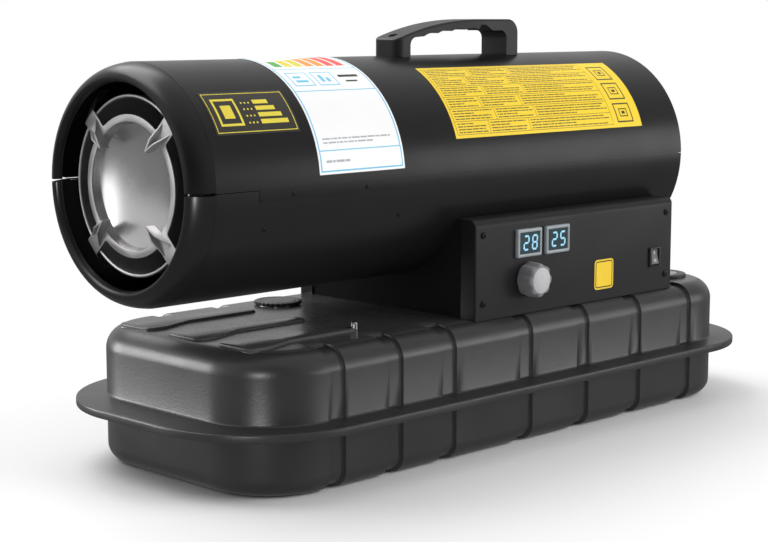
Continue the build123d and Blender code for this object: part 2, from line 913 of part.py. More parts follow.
def display(x):
    """A display module: the bezel in front of the panel and the body behind it."""
    with BuildPart() as module:
        with BuildSketch(panel_plane(x, display_z)):
            RectangleRounded(display_width, display_height, display_corner)
        extrude(amount=display_proud)
        chamfer(module.faces().sort_by(Axis.Y)[0].outer_wire().edges(), display_rim / 4)
        with BuildSketch(panel_plane(x, display_z, display_proud)):
            Rectangle(display_width - 2 * display_rim, display_height - 2 * display_rim)
        extrude(amount=-display_window_depth, mode=Mode.SUBTRACT)
        with BuildSketch(panel_plane(x, display_z)):
            Rectangle(display_body_width, display_body_height)
        extrude(amount=-display_depth)
    return module.part


for name, x in (("left_display", left_display_x), ("right_display", right_display_x)):
    shown = display(x)
    shown.label = name
    export_step(shown, f"parts/{name}.step")

with BuildPart() as control_knob:
    with BuildSketch(panel_plane(knob_x, knob_z, knob_gap)) as knob_outline:
        Circle(knob_core_radius)
        with PolarLocations(knob_lobe_centre, knob_lobes):
            Circle(knob_lobe_radius)
        fillet(knob_outline.vertices(), knob_edge)
    extrude(amount=knob_out - knob_gap)
    fillet(control_knob.faces().sort_by(Axis.Y)[0].edges(), knob_edge)
    with BuildSketch(panel_plane(knob_x, knob_z)):
        Circle(knob_recess_radius)
    extrude(amount=knob_recess_out, mode=Mode.SUBTRACT)
    with BuildSketch(panel_plane(knob_x, knob_z)):
        Circle(thermostat_shaft_radius + running_gap)
    extrude(amount=thermostat_shaft_out + seat_gap, mode=Mode.SUBTRACT)
control_knob.part.label = "control_knob"
export_step(control_knob.part, "parts/control_knob.step")

with BuildPart() as thermostat_shaft:
    with BuildSketch(panel_plane(knob_x, knob_z, thermostat_shaft_out)):
        Circle(thermostat_shaft_radius)
    extrude(amount=-thermostat_shaft_out - sheet - thermostat_depth / 2)
thermostat_shaft.part.label = "thermostat_shaft"
export_step(thermostat_shaft.part, "parts/thermostat_shaft.step")

with BuildPart() as thermostat_body:
    with BuildSketch(panel_plane(knob_x, knob_z, -sheet)):
        Circle(thermostat_radius)
        with Locations((0, -thermostat_radius)):
            Rectangle(thermostat_radius, thermostat_radius)
    extrude(amount=-thermostat_depth)
    with BuildSketch(panel_plane(knob_x, knob_z, -sheet)):
        Circle(bush_radius)
    extrude(amount=sheet + bush_out)
    with BuildSketch(panel_plane(knob_x, knob_z, bush_out)):
        Circle(thermostat_shaft_radius + running_gap)
    extrude(amount=-bush_out - sheet - thermostat_depth / 2 - seat_gap, mode=Mode.SUBTRACT)
thermostat_body.part.label = "thermostat_body"
export_step(thermostat_body.part, "parts/thermostat_body.step")

with BuildPart() as thermostat_nut:
    with BuildSketch(panel_plane(knob_x, knob_z)):
        RegularPolygon(nut_across_flats / 2, 6, major_radius=False)
        Circle(bush_radius + running_gap, mode=Mode.SUBTRACT)
    extrude(amount=nut_height)
thermostat_nut.part.label = "thermostat_nut"
export_step(thermostat_nut.part, "parts/thermostat_nut.step")

rocker_cavity_depth = rocker_back + rocker_pivot_in + rocker_swing_room + rocker_floor_gap

with BuildPart() as switch_housing:
    with BuildSketch(panel_plane(switch_x, switch_z)):
        RectangleRounded(switch_width, switch_height, switch_corner)
    extrude(amount=switch_proud)
    chamfer(switch_housing.faces().sort_by(Axis.Y)[0].edges(), switch_wall / 2)
    with BuildSketch(panel_plane(switch_x, switch_z)):
        Rectangle(switch_body_width, switch_body_height)
    extrude(amount=-switch_depth)
    with BuildSketch(panel_plane(switch_x, switch_z, switch_proud)):
        Rectangle(switch_cavity_width, switch_cavity_height)
    extrude(amount=-switch_proud - rocker_cavity_depth, mode=Mode.SUBTRACT)
    with Locations((switch_x, -cover_face_y + rocker_pivot_in, switch_z)):
        Cylinder(
            pivot_pin_radius + running_gap,
            switch_cavity_width + 2 * pivot_pin_length,
            rotation=(0, 90, 0),
            mode=Mode.SUBTRACT,
        )
switch_housing.part.label = "switch_housing"
export_step(switch_housing.part, "parts/switch_housing.step")

# The rocker rests with its upper half pressed in. Its sketch axes are outwards and up.
tilt = math.radians(rocker_tilt)
rocker_plane = Plane(
    origin=(switch_x, -cover_face_y + rocker_pivot_in, switch_z),
    x_dir=(0, -math.cos(tilt), math.sin(tilt)),
    z_dir=(-1, 0, 0),
)
with BuildPart() as switch_rocker:
    with BuildSketch(rocker_plane):
        with BuildLine():
            Polyline(
                (-rocker_back, -rocker_half_height + rocker_taper),
                (rocker_out, -rocker_half_height),
                (rocker_out - rocker_dip, 0),
                (rocker_out, rocker_half_height),
                (-rocker_back, rocker_half_height - rocker_taper),
                close=True,
            )
        make_face()
    extrude(amount=rocker_width / 2, both=True)
    with Locations((switch_x, -cover_face_y + rocker_pivot_in, switch_z)):
        Cylinder(pivot_pin_radius, rocker_width + 2 * pivot_pin_length, rotation=(0, 90, 0))
switch_rocker.part.label = "switch_rocker"
export_step(switch_rocker.part, "parts/switch_rocker.step")

with BuildPart() as panel_mark:
    with BuildSketch(panel_plane(mark_x, mark_z, label_lift)):
        RectangleRounded(mark_size, mark_size, mark_corner)
    extrude(amount=label_thickness)
panel_mark.part.label = "panel_mark"
export_step(panel_mark.part, "parts/panel_mark.step")

with BuildPart() as cable_gland:
    with BuildSketch(cross_plane(wall_rear_x)):
        with Locations((gland_y, gland_z)):
            RegularPolygon(gland_radius, 6)
    extrude(amount=gland_flange)
    with BuildSketch(cross_plane(wall_rear_x)):
        with Locations((gland_y, gland_z)):
            Circle(gland_dome_radius)
    extrude(amount=gland_length)
    fillet(cable_gland.faces().sort_by(Axis.X)[-1].edges(), gland_flange)
    with BuildSketch(cross_plane(wall_rear_x)):
        with Locations((gland_y, gland_z)):
            Circle(gland_thread_radius)
    extrude(amount=-gland_inside)
    with BuildSketch(cross_plane(wall_rear_x - sheet)):
        with Locations((gland_y, gland_z)):
            RegularPolygon(gland_radius, 6)
    extrude(amount=-gland_flange)
    with BuildSketch(cross_plane(wall_rear_x - gland_inside)):
        with Locations((gland_y, gland_z)):
            Circle(gland_bore)
    extrude(amount=gland_inside + gland_length, mode=Mode.SUBTRACT)
cable_gland.part.label = "cable_gland"
export_step(cable_gland.part, "parts/cable_gland.step")

board_low = box_floor_z + sheet + board_standoff
board_corner_x = board_length / 2 - 2 * board_foot_radius
board_corner_y = board_width / 2 - 2 * board_foot_radius

with BuildPart() as control_board:
    with BuildSketch(Plane.XY.offset(board_low)):
        with Locations((board_x, board_y)):
            Rectangle(board_length, board_width)
    extrude(amount=board_thickness)
    with BuildSketch(Plane.XY.offset(box_floor_z + sheet)):
        with Locations((board_x, board_y)):
            with GridLocations(2 * board_corner_x, 2 * board_corner_y, 2, 2):
                Circle(board_foot_radius)
    extrude(amount=board_standoff)
    for off_x, off_y, long, wide, tall in board_blocks:
        with BuildSketch(Plane.XY.offset(board_low + board_thickness)):
            with Locations((board_x + off_x, board_y + off_y)):
                Rectangle(long, wide)
        extrude(amount=tall)
    with BuildSketch(Plane.XY.offset(board_low + board_thickness)):
        with Locations(*[(board_x + off_x, board_y + off_y) for off_x, off_y in board_cans]):
            Circle(board_can_radius)
    extrude(amount=board_can_height)
control_board.part.label = "control_board"
export_step(control_board.part, "parts/control_board.step")

with BuildPart() as ignition_transformer:
    with BuildSketch(Plane.XY.offset(box_floor_z + sheet)):
        with Locations((transformer_x, transformer_y)):
            RectangleRounded(transformer_length, transformer_width, transformer_corner)
    extrude(amount=transformer_height)
    with BuildSketch(Plane.XY.offset(box_floor_z + sheet)):
        with Locations((transformer_x, transformer_y)):
            SlotOverall(transformer_length + 2 * transformer_tab, 2 * transformer_tab)
    extrude(amount=board_foot_radius)
ignition_transformer.part.label = "ignition_transformer"
export_step(ignition_transformer.part, "parts/ignition_transformer.step")


# Barrel: two half shells joined at the seam, their screws and the straps that carry the chamber

nose_radius = barrel_radius - nose_drop
nose_back_x = nose_front_x + nose_length
nose_curl = nose_radius - mouth_radius
lap_outer = shell_inner - wall_gap
lap_inner = lap_outer - shell_wall
seam_angle = math.degrees(seam_gap / 2 / barrel_radius)
bracket_spots = [(x, a) for x in bracket_rows for a in (-bracket_angle, 180 + bracket_angle)]
seam_spots = [(x, a) for x in seam_screw_rows for a in (-lap_angle / 2, 180 + lap_angle / 2)]
handle_screw_xs = [handle_front_x + handle_screw_inset, handle_rear_x - handle_screw_inset]
shell_screw_hole = shell_screw_shank + running_gap


def shell_section(angle):
    """The barrel's wall on the radial plane at this angle, from the rolled lip to the rear edge."""
    curl_x = nose_front_x + nose_curl
    lip_x = nose_front_x + mouth_back
    with BuildSketch(radial_plane(angle)) as section:
        with BuildLine():
            Polyline(
                (nose_back_x, shell_inner),
                (barrel_rear_x, shell_inner),
                (barrel_rear_x, barrel_radius),
                (nose_back_x, barrel_radius),
            )
            EllipticalCenterArc((nose_back_x, nose_radius), nose_length, nose_drop, 90, arc_size=90)
            CenterArc((curl_x, nose_radius), nose_curl, 180, 90)
            Polyline(
                (curl_x, mouth_radius),
                (lip_x, mouth_radius),
                (lip_x, mouth_radius + shell_wall),
                (curl_x, mouth_radius + shell_wall),
            )
            CenterArc((curl_x, nose_radius), nose_curl - shell_wall, 180, 90)
            EllipticalCenterArc(
                (nose_back_x, nose_radius), nose_length - shell_wall, nose_drop - shell_wall, 90, arc_size=90
            )
        make_face()
    return section.sketch


def ring_bar(start_x, end_x, inner, outer, top_angle, turn):
    """A bar with its long side along the barrel, bent round the axis down from top_angle by turn."""
    with BuildPart() as bar:
        with BuildSketch(radial_plane(top_angle)):
            with Locations(((start_x + end_x) / 2, (inner + outer) / 2)):
                Rectangle(end_x - start_x, outer - inner)
        revolve(axis=barrel_axis, revolution_arc=turn)
    return bar.part


with BuildPart() as nose_slot:
    with Locations((nose_front_x, 0, barrel_z)):
        Box(2 * nose_slot_length, 3 * barrel_radius, nose_slot_height)

with BuildPart() as upper_shell:
    add(shell_section(180 - seam_angle))
    revolve(axis=barrel_axis, revolution_arc=180 - 2 * seam_angle)
    add(nose_slot.part, mode=Mode.SUBTRACT)
    for top in (lap_angle / 2, 180 + lap_angle):
        add(ring_bar(nose_back_x + lap_setback, barrel_rear_x, lap_inner, lap_outer, top, 1.5 * lap_angle))
    for top in (lap_angle / 2, 180 - seam_angle):
        turn = lap_angle / 2 - seam_angle
        add(ring_bar(nose_back_x + lap_setback, barrel_rear_x, lap_inner, shell_inner + weld, top, turn))
    for x, angle in seam_spots:
        with Locations(skin_plane(x, angle, barrel_radius)):
            Cylinder(shell_screw_hole, 8 * shell_wall, mode=Mode.SUBTRACT)
    with Locations([(x, 0, barrel_z + barrel_radius) for x in handle_screw_xs]):
        Cylinder(handle_screw_radius + running_gap, 8 * shell_wall, mode=Mode.SUBTRACT)
upper_shell.part.label = "upper_shell"
export_step(upper_shell.part, "parts/upper_shell.step")

with BuildPart() as lower_shell:
    add(shell_section(-seam_angle))
    revolve(axis=barrel_axis, revolution_arc=180 - 2 * seam_angle)
    add(nose_slot.part, mode=Mode.SUBTRACT)
    for top in (-seam_angle, 180 + lap_angle):
        turn = lap_angle - seam_angle
        add(ring_bar(lap_front_x, barrel_rear_x, barrel_radius - weld, barrel_radius + lap_rise, top, turn))
    for x, angle in seam_spots + bracket_spots:
        with Locations(skin_plane(x, angle, barrel_radius)):
            Cylinder(shell_screw_hole, 8 * shell_wall, mode=Mode.SUBTRACT)
    with Locations((hose_hole_x, 0, barrel_z - barrel_radius)):
        Cylinder(hose_hole_radius, barrel_radius / 2, mode=Mode.SUBTRACT)
    with Locations((air_hole_x, -port_y, barrel_z - barrel_radius)):
        Cylinder(air_hole_radius, barrel_radius / 2, mode=Mode.SUBTRACT)
lower_shell.part.label = "lower_shell"
export_step(lower_shell.part, "parts/lower_shell.step")

with BuildPart() as shell_screws:
    for spots, surface in ((seam_spots, barrel_radius + lap_rise), (bracket_spots, barrel_radius)):
        for x, angle in spots:
            with BuildSketch(skin_plane(x, angle, surface)):
                Circle(shell_screw_head)
            extrude(amount=shell_screw_height)
            with BuildSketch(skin_plane(x, angle, surface)):
                Circle(shell_screw_shank)
            extrude(amount=-shell_screw_length)
shell_screws.part.label = "shell_screws"
export_step(shell_screws.part, "parts/shell_screws.step")


# Combustion chamber: the flame tube on its straps, closed by the chamber head

def arc_band(inner, outer, start, turn):
    """A stretch of a flat ring as a sketch round the origin, from start through turn degrees."""
    with BuildSketch() as band:
        with BuildLine():
            far = CenterArc((0, 0), outer, start, turn)
            near = CenterArc((0, 0), inner, start, turn)
            Line(far @ 0, near @ 0)
            Line(far @ 1, near @ 1)
        make_face()
    return band.sketch


cradle_inner = tube_radius + seat_gap
cradle_outer = cradle_inner + bracket_sheet
foot_outer = shell_inner - seat_gap
foot_inner = foot_outer - bracket_sheet
foot_angle = math.degrees(bracket_foot / foot_outer)
arm_foot_radius = math.sqrt(foot_outer ** 2 - (arm_width / 2) ** 2)

with BuildPart() as chamber_brackets:
    for row_x in bracket_rows:
        with BuildSketch(barrel_plane(row_x - bracket_width / 2)):
            add(arc_band(cradle_inner, cradle_outer, 180 + bracket_angle / 2, 180 - bracket_angle))
            for angle in (180 + bracket_angle, -bracket_angle):
                add(arc_band(foot_inner, foot_outer, angle - foot_angle / 2, foot_angle))
                with PolarLocations((cradle_inner + foot_outer) / 2, 1, start_angle=angle):
                    Rectangle(foot_outer - cradle_inner - bracket_sheet, bracket_sheet)
        extrude(amount=bracket_width)
    for x, angle in bracket_spots:
        with Locations(skin_plane(x, angle, foot_outer)):
            Cylinder(shell_screw_hole, 2 * shell_screw_length, mode=Mode.SUBTRACT)
chamber_brackets.part.label = "chamber_brackets"
export_step(chamber_brackets.part, "parts/chamber_brackets.step")

with BuildPart() as flame_tube:
    with BuildSketch(barrel_plane(tube_front_x)):
        Circle(tube_radius)
        Circle(tube_radius - tube_wall, mode=Mode.SUBTRACT)
    extrude(amount=tube_rear_x - tube_front_x)
    with BuildSketch(barrel_plane(tube_front_x)):
        Circle(tube_radius + tube_bead)
        Circle(tube_radius - tube_wall, mode=Mode.SUBTRACT)
    extrude(amount=2 * tube_bead)
    fillet(flame_tube.edges().filter_by(GeomType.CIRCLE).group_by(Axis.X)[0].sort_by(SortBy.RADIUS)[-1], tube_bead)
    for row_x in tube_hole_rows:
        with Locations(barrel_plane(row_x)):
            with PolarLocations(0, tube_hole_count, start_angle=180 / tube_hole_count):
                Cylinder(
                    tube_hole_radius,
                    2 * tube_radius,
                    rotation=(0, 90, 0),
                    align=(Align.CENTER, Align.CENTER, Align.MIN),
                    mode=Mode.SUBTRACT,
                )
flame_tube.part.label = "flame_tube"
export_step(flame_tube.part, "parts/flame_tube.step")

head_radius = tube_radius - tube_wall - seat_gap
collar_front = head_x + head_sheet

with BuildPart() as chamber_head:
    with BuildSketch(barrel_plane(head_x)):
        Circle(head_radius)
        Circle(burner_radius + wall_gap, mode=Mode.SUBTRACT)
        with PolarLocations(head_slot_centre, head_slots):
            SlotOverall(head_slot_length, head_slot_width, rotation=head_slot_turn, mode=Mode.SUBTRACT)
        with Locations((electrode_y, electrode_z), (-electrode_y, electrode_z)):
            Circle(electrode_radius + wall_gap, mode=Mode.SUBTRACT)
        with Locations((photocell_y, 0)):
            Circle(photocell_radius + wall_gap, mode=Mode.SUBTRACT)
    extrude(amount=head_sheet)
    with BuildSketch(barrel_plane(head_x)):
        Circle(head_radius)
        Circle(head_radius - head_sheet, mode=Mode.SUBTRACT)
    extrude(amount=head_rim)
chamber_head.part.label = "chamber_head"
export_step(chamber_head.part, "parts/chamber_head.step")


# Diffuser at the outlet: a ring on four arms that reach out to the barrel, and the dish behind it

plate_back = tube_front_x - seat_gap
plate_front = plate_back - diffuser_sheet
arm_angles = [45, 135, 225, 315]
gusset_lean = math.atan2(gusset_half_width, gusset_outer - gusset_tip)

with BuildSketch() as gusset_outline:
    with BuildLine():
        Polyline(
            (gusset_tip, gusset_wall / 2),
            (gusset_outer, gusset_half_width),
            (gusset_outer, -gusset_half_width),
            (gusset_tip, -gusset_wall / 2),
            close=True,
        )
    make_face()
    with BuildLine():
        Polyline(
            (gusset_tip + gusset_wall / math.sin(gusset_lean), 0),
            (gusset_outer, gusset_half_width - gusset_wall / math.cos(gusset_lean)),
            (gusset_outer, -gusset_half_width + gusset_wall / math.cos(gusset_lean)),
            close=True,
        )
    make_face(mode=Mode.SUBTRACT)

with BuildPart() as gussets:
    with BuildSketch(barrel_plane(gusset_tip_x)):
        with PolarLocations(0, len(arm_angles), start_angle=arm_angles[0]):
            add(gusset_outline.sketch)
    extrude(amount=plate_back - gusset_tip_x)
    for angle in arm_angles:
        with BuildSketch(radial_plane(angle)):
            with BuildLine():
                Polyline(
                    (plate_front, gusset_outer + gusset_wall),
                    (gusset_tip_x, gusset_root),
                    (gusset_tip_x - 1, gusset_root),
                    (gusset_tip_x - 1, gusset_outer + gusset_wall),
                    close=True,
                )
            make_face()
        extrude(amount=2 * gusset_half_width, both=True, mode=Mode.SUBTRACT)

with BuildPart() as flame_diffuser:
    with BuildSketch(barrel_plane(plate_front)) as plate:
        Circle(diffuser_outer)
        with PolarLocations(arm_bend_radius / 2, len(arm_angles), start_angle=arm_angles[0]):
            Rectangle(arm_bend_radius, arm_width)
        fillet([v for v in plate.vertices() if Vector(v).length < (diffuser_outer + arm_bend_radius) / 2], arm_fillet)
        Circle(diffuser_inner, mode=Mode.SUBTRACT)
    extrude(amount=diffuser_sheet)
    for angle in arm_angles:
        with BuildSketch(radial_plane(angle)):
            with BuildLine():
                FilletPolyline(
                    (plate_front + diffuser_sheet / 2, diffuser_outer),
                    (plate_front + diffuser_sheet / 2, arm_bend_radius),
                    (arm_back_x, arm_foot_radius - diffuser_sheet / 2),
                    (arm_back_x + arm_foot, arm_foot_radius - diffuser_sheet / 2),
                    radius=arm_fillet,
                )
            trace(line_width=diffuser_sheet)
        extrude(amount=arm_width / 2, both=True)
    add(gussets.part)
flame_diffuser.part.label = "flame_diffuser"
export_step(flame_diffuser.part, "parts/flame_diffuser.step")

dish_rim_x = plate_back + dome_wall
dish_rim_radius = diffuser_inner - dome_draft
bowl_radius = (dish_rim_radius ** 2 + dome_height ** 2) / (2 * dome_height)
bowl_centre_x = dish_rim_x + dome_height - bowl_radius
bowl_angle = math.degrees(math.asin(dish_rim_radius / bowl_radius))

with BuildPart() as flame_dome:
    with BuildSketch(radial_plane(90)):
        with BuildLine():
            bowl_front = CenterArc((bowl_centre_x, 0), bowl_radius, 0, bowl_angle)
            bowl_back = CenterArc((bowl_centre_x, 0), bowl_radius + dome_sheet, 0, bowl_angle)
            Line(bowl_front @ 0, bowl_back @ 0)
            Polyline(
                bowl_front @ 1,
                (plate_back, diffuser_inner),
                (plate_back, diffuser_inner + dome_flange),
                (plate_back + dome_sheet, diffuser_inner + dome_flange),
                (plate_back + dome_sheet, diffuser_inner + dome_sheet),
                bowl_back @ 1,
            )
        make_face()
    revolve(axis=barrel_axis)
flame_dome.part.label = "flame_dome"
export_step(flame_dome.part, "parts/flame_dome.step")


# Burner: its collar is screwed to the chamber head, with the nozzle, igniter and photocell round it

port_low_z = barrel_z - burner_radius - port_drop
wire_x = burner_rear_x + 2 * wire_radius
lead_end_x = transformer_x - transformer_length / 2
lead_end_y = transformer_y - electrode_y - wire_radius

with BuildPart() as burner_head:
    with BuildSketch(barrel_plane(burner_front_x)):
        Circle(burner_radius)
    extrude(amount=burner_rear_x - burner_front_x)
    fillet(burner_head.faces().sort_by(Axis.X)[-1].edges(), burner_collar_thickness)
    with BuildSketch(barrel_plane(collar_front)):
        Circle(burner_collar)
        with Locations((electrode_y, electrode_z), (-electrode_y, electrode_z)):
            Circle(electrode_radius + wall_gap, mode=Mode.SUBTRACT)
    extrude(amount=burner_collar_thickness)
    with BuildSketch(Plane.XY.offset(port_low_z)):
        with Locations((hose_hole_x, port_y), (hose_hole_x, -port_y)):
            Circle(port_radius)
    extrude(amount=burner_radius + port_drop)
    with BuildSketch(barrel_plane(burner_front_x)):
        Circle(nozzle_bore)
    extrude(amount=nozzle_seat, mode=Mode.SUBTRACT)
burner_head.part.label = "burner_head"
export_step(burner_head.part, "parts/burner_head.step")

with BuildPart() as nozzle:
    with BuildSketch(barrel_plane(burner_front_x)):
        RegularPolygon(nozzle_across_flats / 2, 6, major_radius=False)
    extrude(amount=-nozzle_hex)
    with BuildSketch(barrel_plane(burner_front_x)):
        Circle(nozzle_bore - running_gap)
    extrude(amount=nozzle_seat - nozzle_seat_gap)
    with BuildSketch(barrel_plane(burner_front_x - nozzle_hex)):
        Circle(nozzle_shoulder)
    with BuildSketch(barrel_plane(burner_front_x - nozzle_hex - nozzle_tip)):
        Circle(nozzle_tip_radius)
    loft()
nozzle.part.label = "nozzle"
export_step(nozzle.part, "parts/nozzle.step")

with BuildPart() as igniter:
    for side in (-1, 1):
        with BuildSketch(barrel_plane(electrode_front_x)):
            with Locations((side * electrode_y, electrode_z)):
                Circle(electrode_radius)
        extrude(amount=electrode_rear_x - electrode_front_x)
        with BuildLine() as spark_wire:
            Polyline(
                (electrode_front_x, side * electrode_y, barrel_z + electrode_z),
                (electrode_front_x - wire_reach, side * electrode_y, barrel_z + electrode_z),
                (electrode_front_x - wire_reach, side * spark_gap, barrel_z + electrode_z - wire_drop),
            )
        with BuildSketch(Plane(origin=spark_wire.line @ 0, z_dir=spark_wire.line % 0)):
            Circle(wire_radius)
        sweep(transition=Transition.RIGHT)
        with BuildLine() as lead:
            FilletPolyline(
                (electrode_rear_x, side * electrode_y, barrel_z + electrode_z),
                (wire_x, side * electrode_y, barrel_z + electrode_z),
                (wire_x, lead_y + side * lead_spacing, lead_turn_z),
                (lead_end_x - lead_tail, lead_end_y + side * electrode_y, lead_turn_z),
                (lead_end_x, lead_end_y + side * electrode_y, lead_turn_z),
                radius=lead_bend,
            )
        with BuildSketch(Plane(origin=lead.line @ 0, z_dir=lead.line % 0)):
            Circle(wire_radius)
        sweep()
igniter.part.label = "igniter"
export_step(igniter.part, "parts/igniter.step")

with BuildPart() as photocell:
    with BuildSketch(barrel_plane(head_x - photocell_sight)):
        with Locations((photocell_y, 0)):
            Circle(photocell_radius)
    extrude(amount=photocell_length)
    with BuildSketch(barrel_plane(collar_front)):
        with Locations((photocell_y, 0)):
            Circle(photocell_radius + photocell_sight)
    extrude(amount=photocell_sight)
photocell.part.label = "photocell"
export_step(photocell.part, "parts/photocell.step")


# Motor on its bracket, with the fan at its front and the air pump at its rear

shaft_hole = motor_shaft_radius + seat_gap
bearing_front_x = motor_front_x + motor_wall
bearing_rear_x = motor_rear_x - motor_wall - bearing_width
stator_outer = motor_radius - motor_wall - wall_gap
core_front_x = motor_front_x + core_margin
core_rear_x = motor_rear_x - core_margin
pump_front_x = motor_rear_x + seat_gap
pump_rear_x = pump_front_x + pump_length
rotor_front_x = pump_front_x + pump_side_gap
rotor_rear_x = pump_rear_x - pump_side_gap
bracket_front_x = (motor_front_x + motor_rear_x - motor_bracket_length) / 2

with BuildPart() as motor_housing:
    with BuildSketch(barrel_plane(motor_front_x)):
        Circle(motor_radius)
    extrude(amount=motor_rear_x - motor_front_x)
    with BuildSketch(barrel_plane(bearing_front_x)):
        Circle(motor_radius - motor_wall)
    extrude(amount=motor_rear_x - motor_front_x - 2 * motor_wall, mode=Mode.SUBTRACT)
    for end_x in (bearing_front_x, bearing_rear_x):
        with BuildSketch(barrel_plane(end_x)):
            Circle(bearing_radius + bearing_housing)
            Circle(bearing_radius, mode=Mode.SUBTRACT)
        extrude(amount=bearing_width)
    with BuildSketch(barrel_plane(motor_front_x)):
        Circle(shaft_hole)
    extrude(amount=motor_rear_x - motor_front_x, mode=Mode.SUBTRACT)
motor_housing.part.label = "motor_housing"
export_step(motor_housing.part, "parts/motor_housing.step")

with BuildPart() as motor_stator:
    with BuildSketch(barrel_plane(core_front_x)):
        Circle(stator_outer)
        Circle(core_radius + stator_gap, mode=Mode.SUBTRACT)
        with PolarLocations(core_radius + stator_gap, stator_slots):
            SlotOverall(2 * stator_slot_depth, stator_slot_width, mode=Mode.SUBTRACT)
    extrude(amount=core_rear_x - core_front_x)
motor_stator.part.label = "motor_stator"
export_step(motor_stator.part, "parts/motor_stator.step")

with BuildPart() as motor_bearings:
    for end_x in (bearing_front_x, bearing_rear_x):
        with BuildSketch(barrel_plane(end_x)):
            Circle(bearing_radius - running_gap / 2)
            Circle(motor_shaft_radius + running_gap, mode=Mode.SUBTRACT)
        extrude(amount=bearing_width)
motor_bearings.part.label = "motor_bearings"
export_step(motor_bearings.part, "parts/motor_bearings.step")

with BuildPart() as motor_bracket:
    with BuildSketch(Plane.XY.offset(barrel_z)):
        with Locations((bracket_front_x + motor_bracket_length / 2, 0)):
            Rectangle(motor_bracket_length, motor_bracket_width)
            Rectangle(
                motor_bracket_length - 2 * motor_bracket_wall,
                motor_bracket_width - 2 * motor_bracket_wall,
                mode=Mode.SUBTRACT,
            )
    extrude(amount=-barrel_radius)
    with BuildSketch(barrel_plane(bracket_front_x)):
        Circle(motor_radius + seat_gap)
    extrude(amount=motor_bracket_length, mode=Mode.SUBTRACT)
    with BuildSketch(barrel_plane(bracket_front_x)):
        Circle(2 * barrel_radius)
        Circle(shell_inner - seat_gap, mode=Mode.SUBTRACT)
    extrude(amount=motor_bracket_length, mode=Mode.SUBTRACT)
motor_bracket.part.label = "motor_bracket"
export_step(motor_bracket.part, "parts/motor_bracket.step")

with BuildPart() as motor_shaft:
    with BuildSketch(barrel_plane(shaft_front_x)):
        Circle(motor_shaft_radius)
    extrude(amount=rotor_rear_x - shaft_front_x)
    with BuildSketch(barrel_plane(core_front_x)):
        Circle(core_radius)
    extrude(amount=core_rear_x - core_front_x)
motor_shaft.part.label = "motor_shaft"
export_step(motor_shaft.part, "parts/motor_shaft.step")

blade_angle = math.radians(fan_pitch)
blade_mid_x = fan_front_x + fan_depth / 2
with BuildPart() as fan_blade:
    blade_root = Plane(origin=(blade_mid_x, 0, barrel_z + fan_hub_radius - 1), x_dir=(1, 0, 0), z_dir=(0, 0, 1))
    chord = (fan_blade_half_chord * math.cos(blade_angle), fan_blade_half_chord * math.sin(blade_angle))
    crown = (fan_blade_camber * math.sin(blade_angle), -fan_blade_camber * math.cos(blade_angle))
    with BuildSketch(blade_root):
        with BuildLine():
            ThreePointArc((-chord[0], -chord[1]), crown, chord)
        trace(line_width=fan_blade_thickness)
    extrude(amount=fan_radius)
    with BuildSketch(barrel_plane(fan_front_x)):
        Circle(fan_radius)
    extrude(amount=fan_depth, mode=Mode.INTERSECT)

with BuildPart() as fan:
    with BuildSketch(barrel_plane(fan_front_x)):
        Circle(fan_hub_radius)
    extrude(amount=fan_depth)
    for blade in range(fan_blades):
        add(fan_blade.part.rotate(barrel_axis, 360 * blade / fan_blades))
    with BuildSketch(barrel_plane(fan_front_x)):
        Circle(motor_shaft_radius + running_gap)
    extrude(amount=fan_depth, mode=Mode.SUBTRACT)
fan.part.label = "fan"
export_step(fan.part, "parts/fan.step")

with BuildPart() as pump_housing:
    with BuildSketch(barrel_plane(pump_front_x)):
        Circle(pump_radius)
    extrude(amount=pump_length)
    with BuildSketch(Plane.XY.offset(barrel_z - pump_radius - port_drop)):
        with Locations((pump_front_x + pump_length / 2, -port_y)):
            Circle(port_radius)
    extrude(amount=pump_radius + port_drop)
    with BuildSketch(barrel_plane(pump_front_x, 0, pump_eccentric)):
        Circle(pump_bore)
    extrude(amount=pump_length, mode=Mode.SUBTRACT)
pump_housing.part.label = "pump_housing"
export_step(pump_housing.part, "parts/pump_housing.step")

with BuildPart() as pump_rotor:
    with BuildSketch(barrel_plane(rotor_front_x)):
        Circle(pump_rotor_radius)
        Circle(motor_shaft_radius + running_gap, mode=Mode.SUBTRACT)
        with PolarLocations(pump_rotor_radius, vane_count):
            Rectangle(2 * vane_depth, vane_thickness, mode=Mode.SUBTRACT)
    extrude(amount=rotor_rear_x - rotor_front_x)
pump_rotor.part.label = "pump_rotor"
export_step(pump_rotor.part, "parts/pump_rotor.step")

with BuildPart() as pump_vanes:
    with BuildSketch(barrel_plane(rotor_front_x)):
        with PolarLocations(pump_rotor_radius - vane_depth / 2, vane_count):
            Rectangle(vane_depth - 2 * running_gap, vane_thickness - 2 * running_gap)
    extrude(amount=rotor_rear_x - rotor_front_x)
pump_vanes.part.label = "pump_vanes"
export_step(pump_vanes.part, "parts/pump_vanes.step")

with BuildPart() as pump_cover:
    with BuildSketch(barrel_plane(pump_rear_x)):
        Circle(pump_radius)
    extrude(amount=pump_cover_thickness)
    with BuildSketch(barrel_plane(pump_rear_x + pump_cover_thickness)):
        Circle(filter_radius)
    extrude(amount=filter_length)
    fillet(pump_cover.faces().sort_by(Axis.X)[-1].edges(), filter_length / 4)
pump_cover.part.label = "pump_cover"
export_step(pump_cover.part, "parts/pump_cover.step")

guard_rim = lap_inner - seat_gap
guard_rings = int((guard_rim - guard_hub) / guard_pitch)

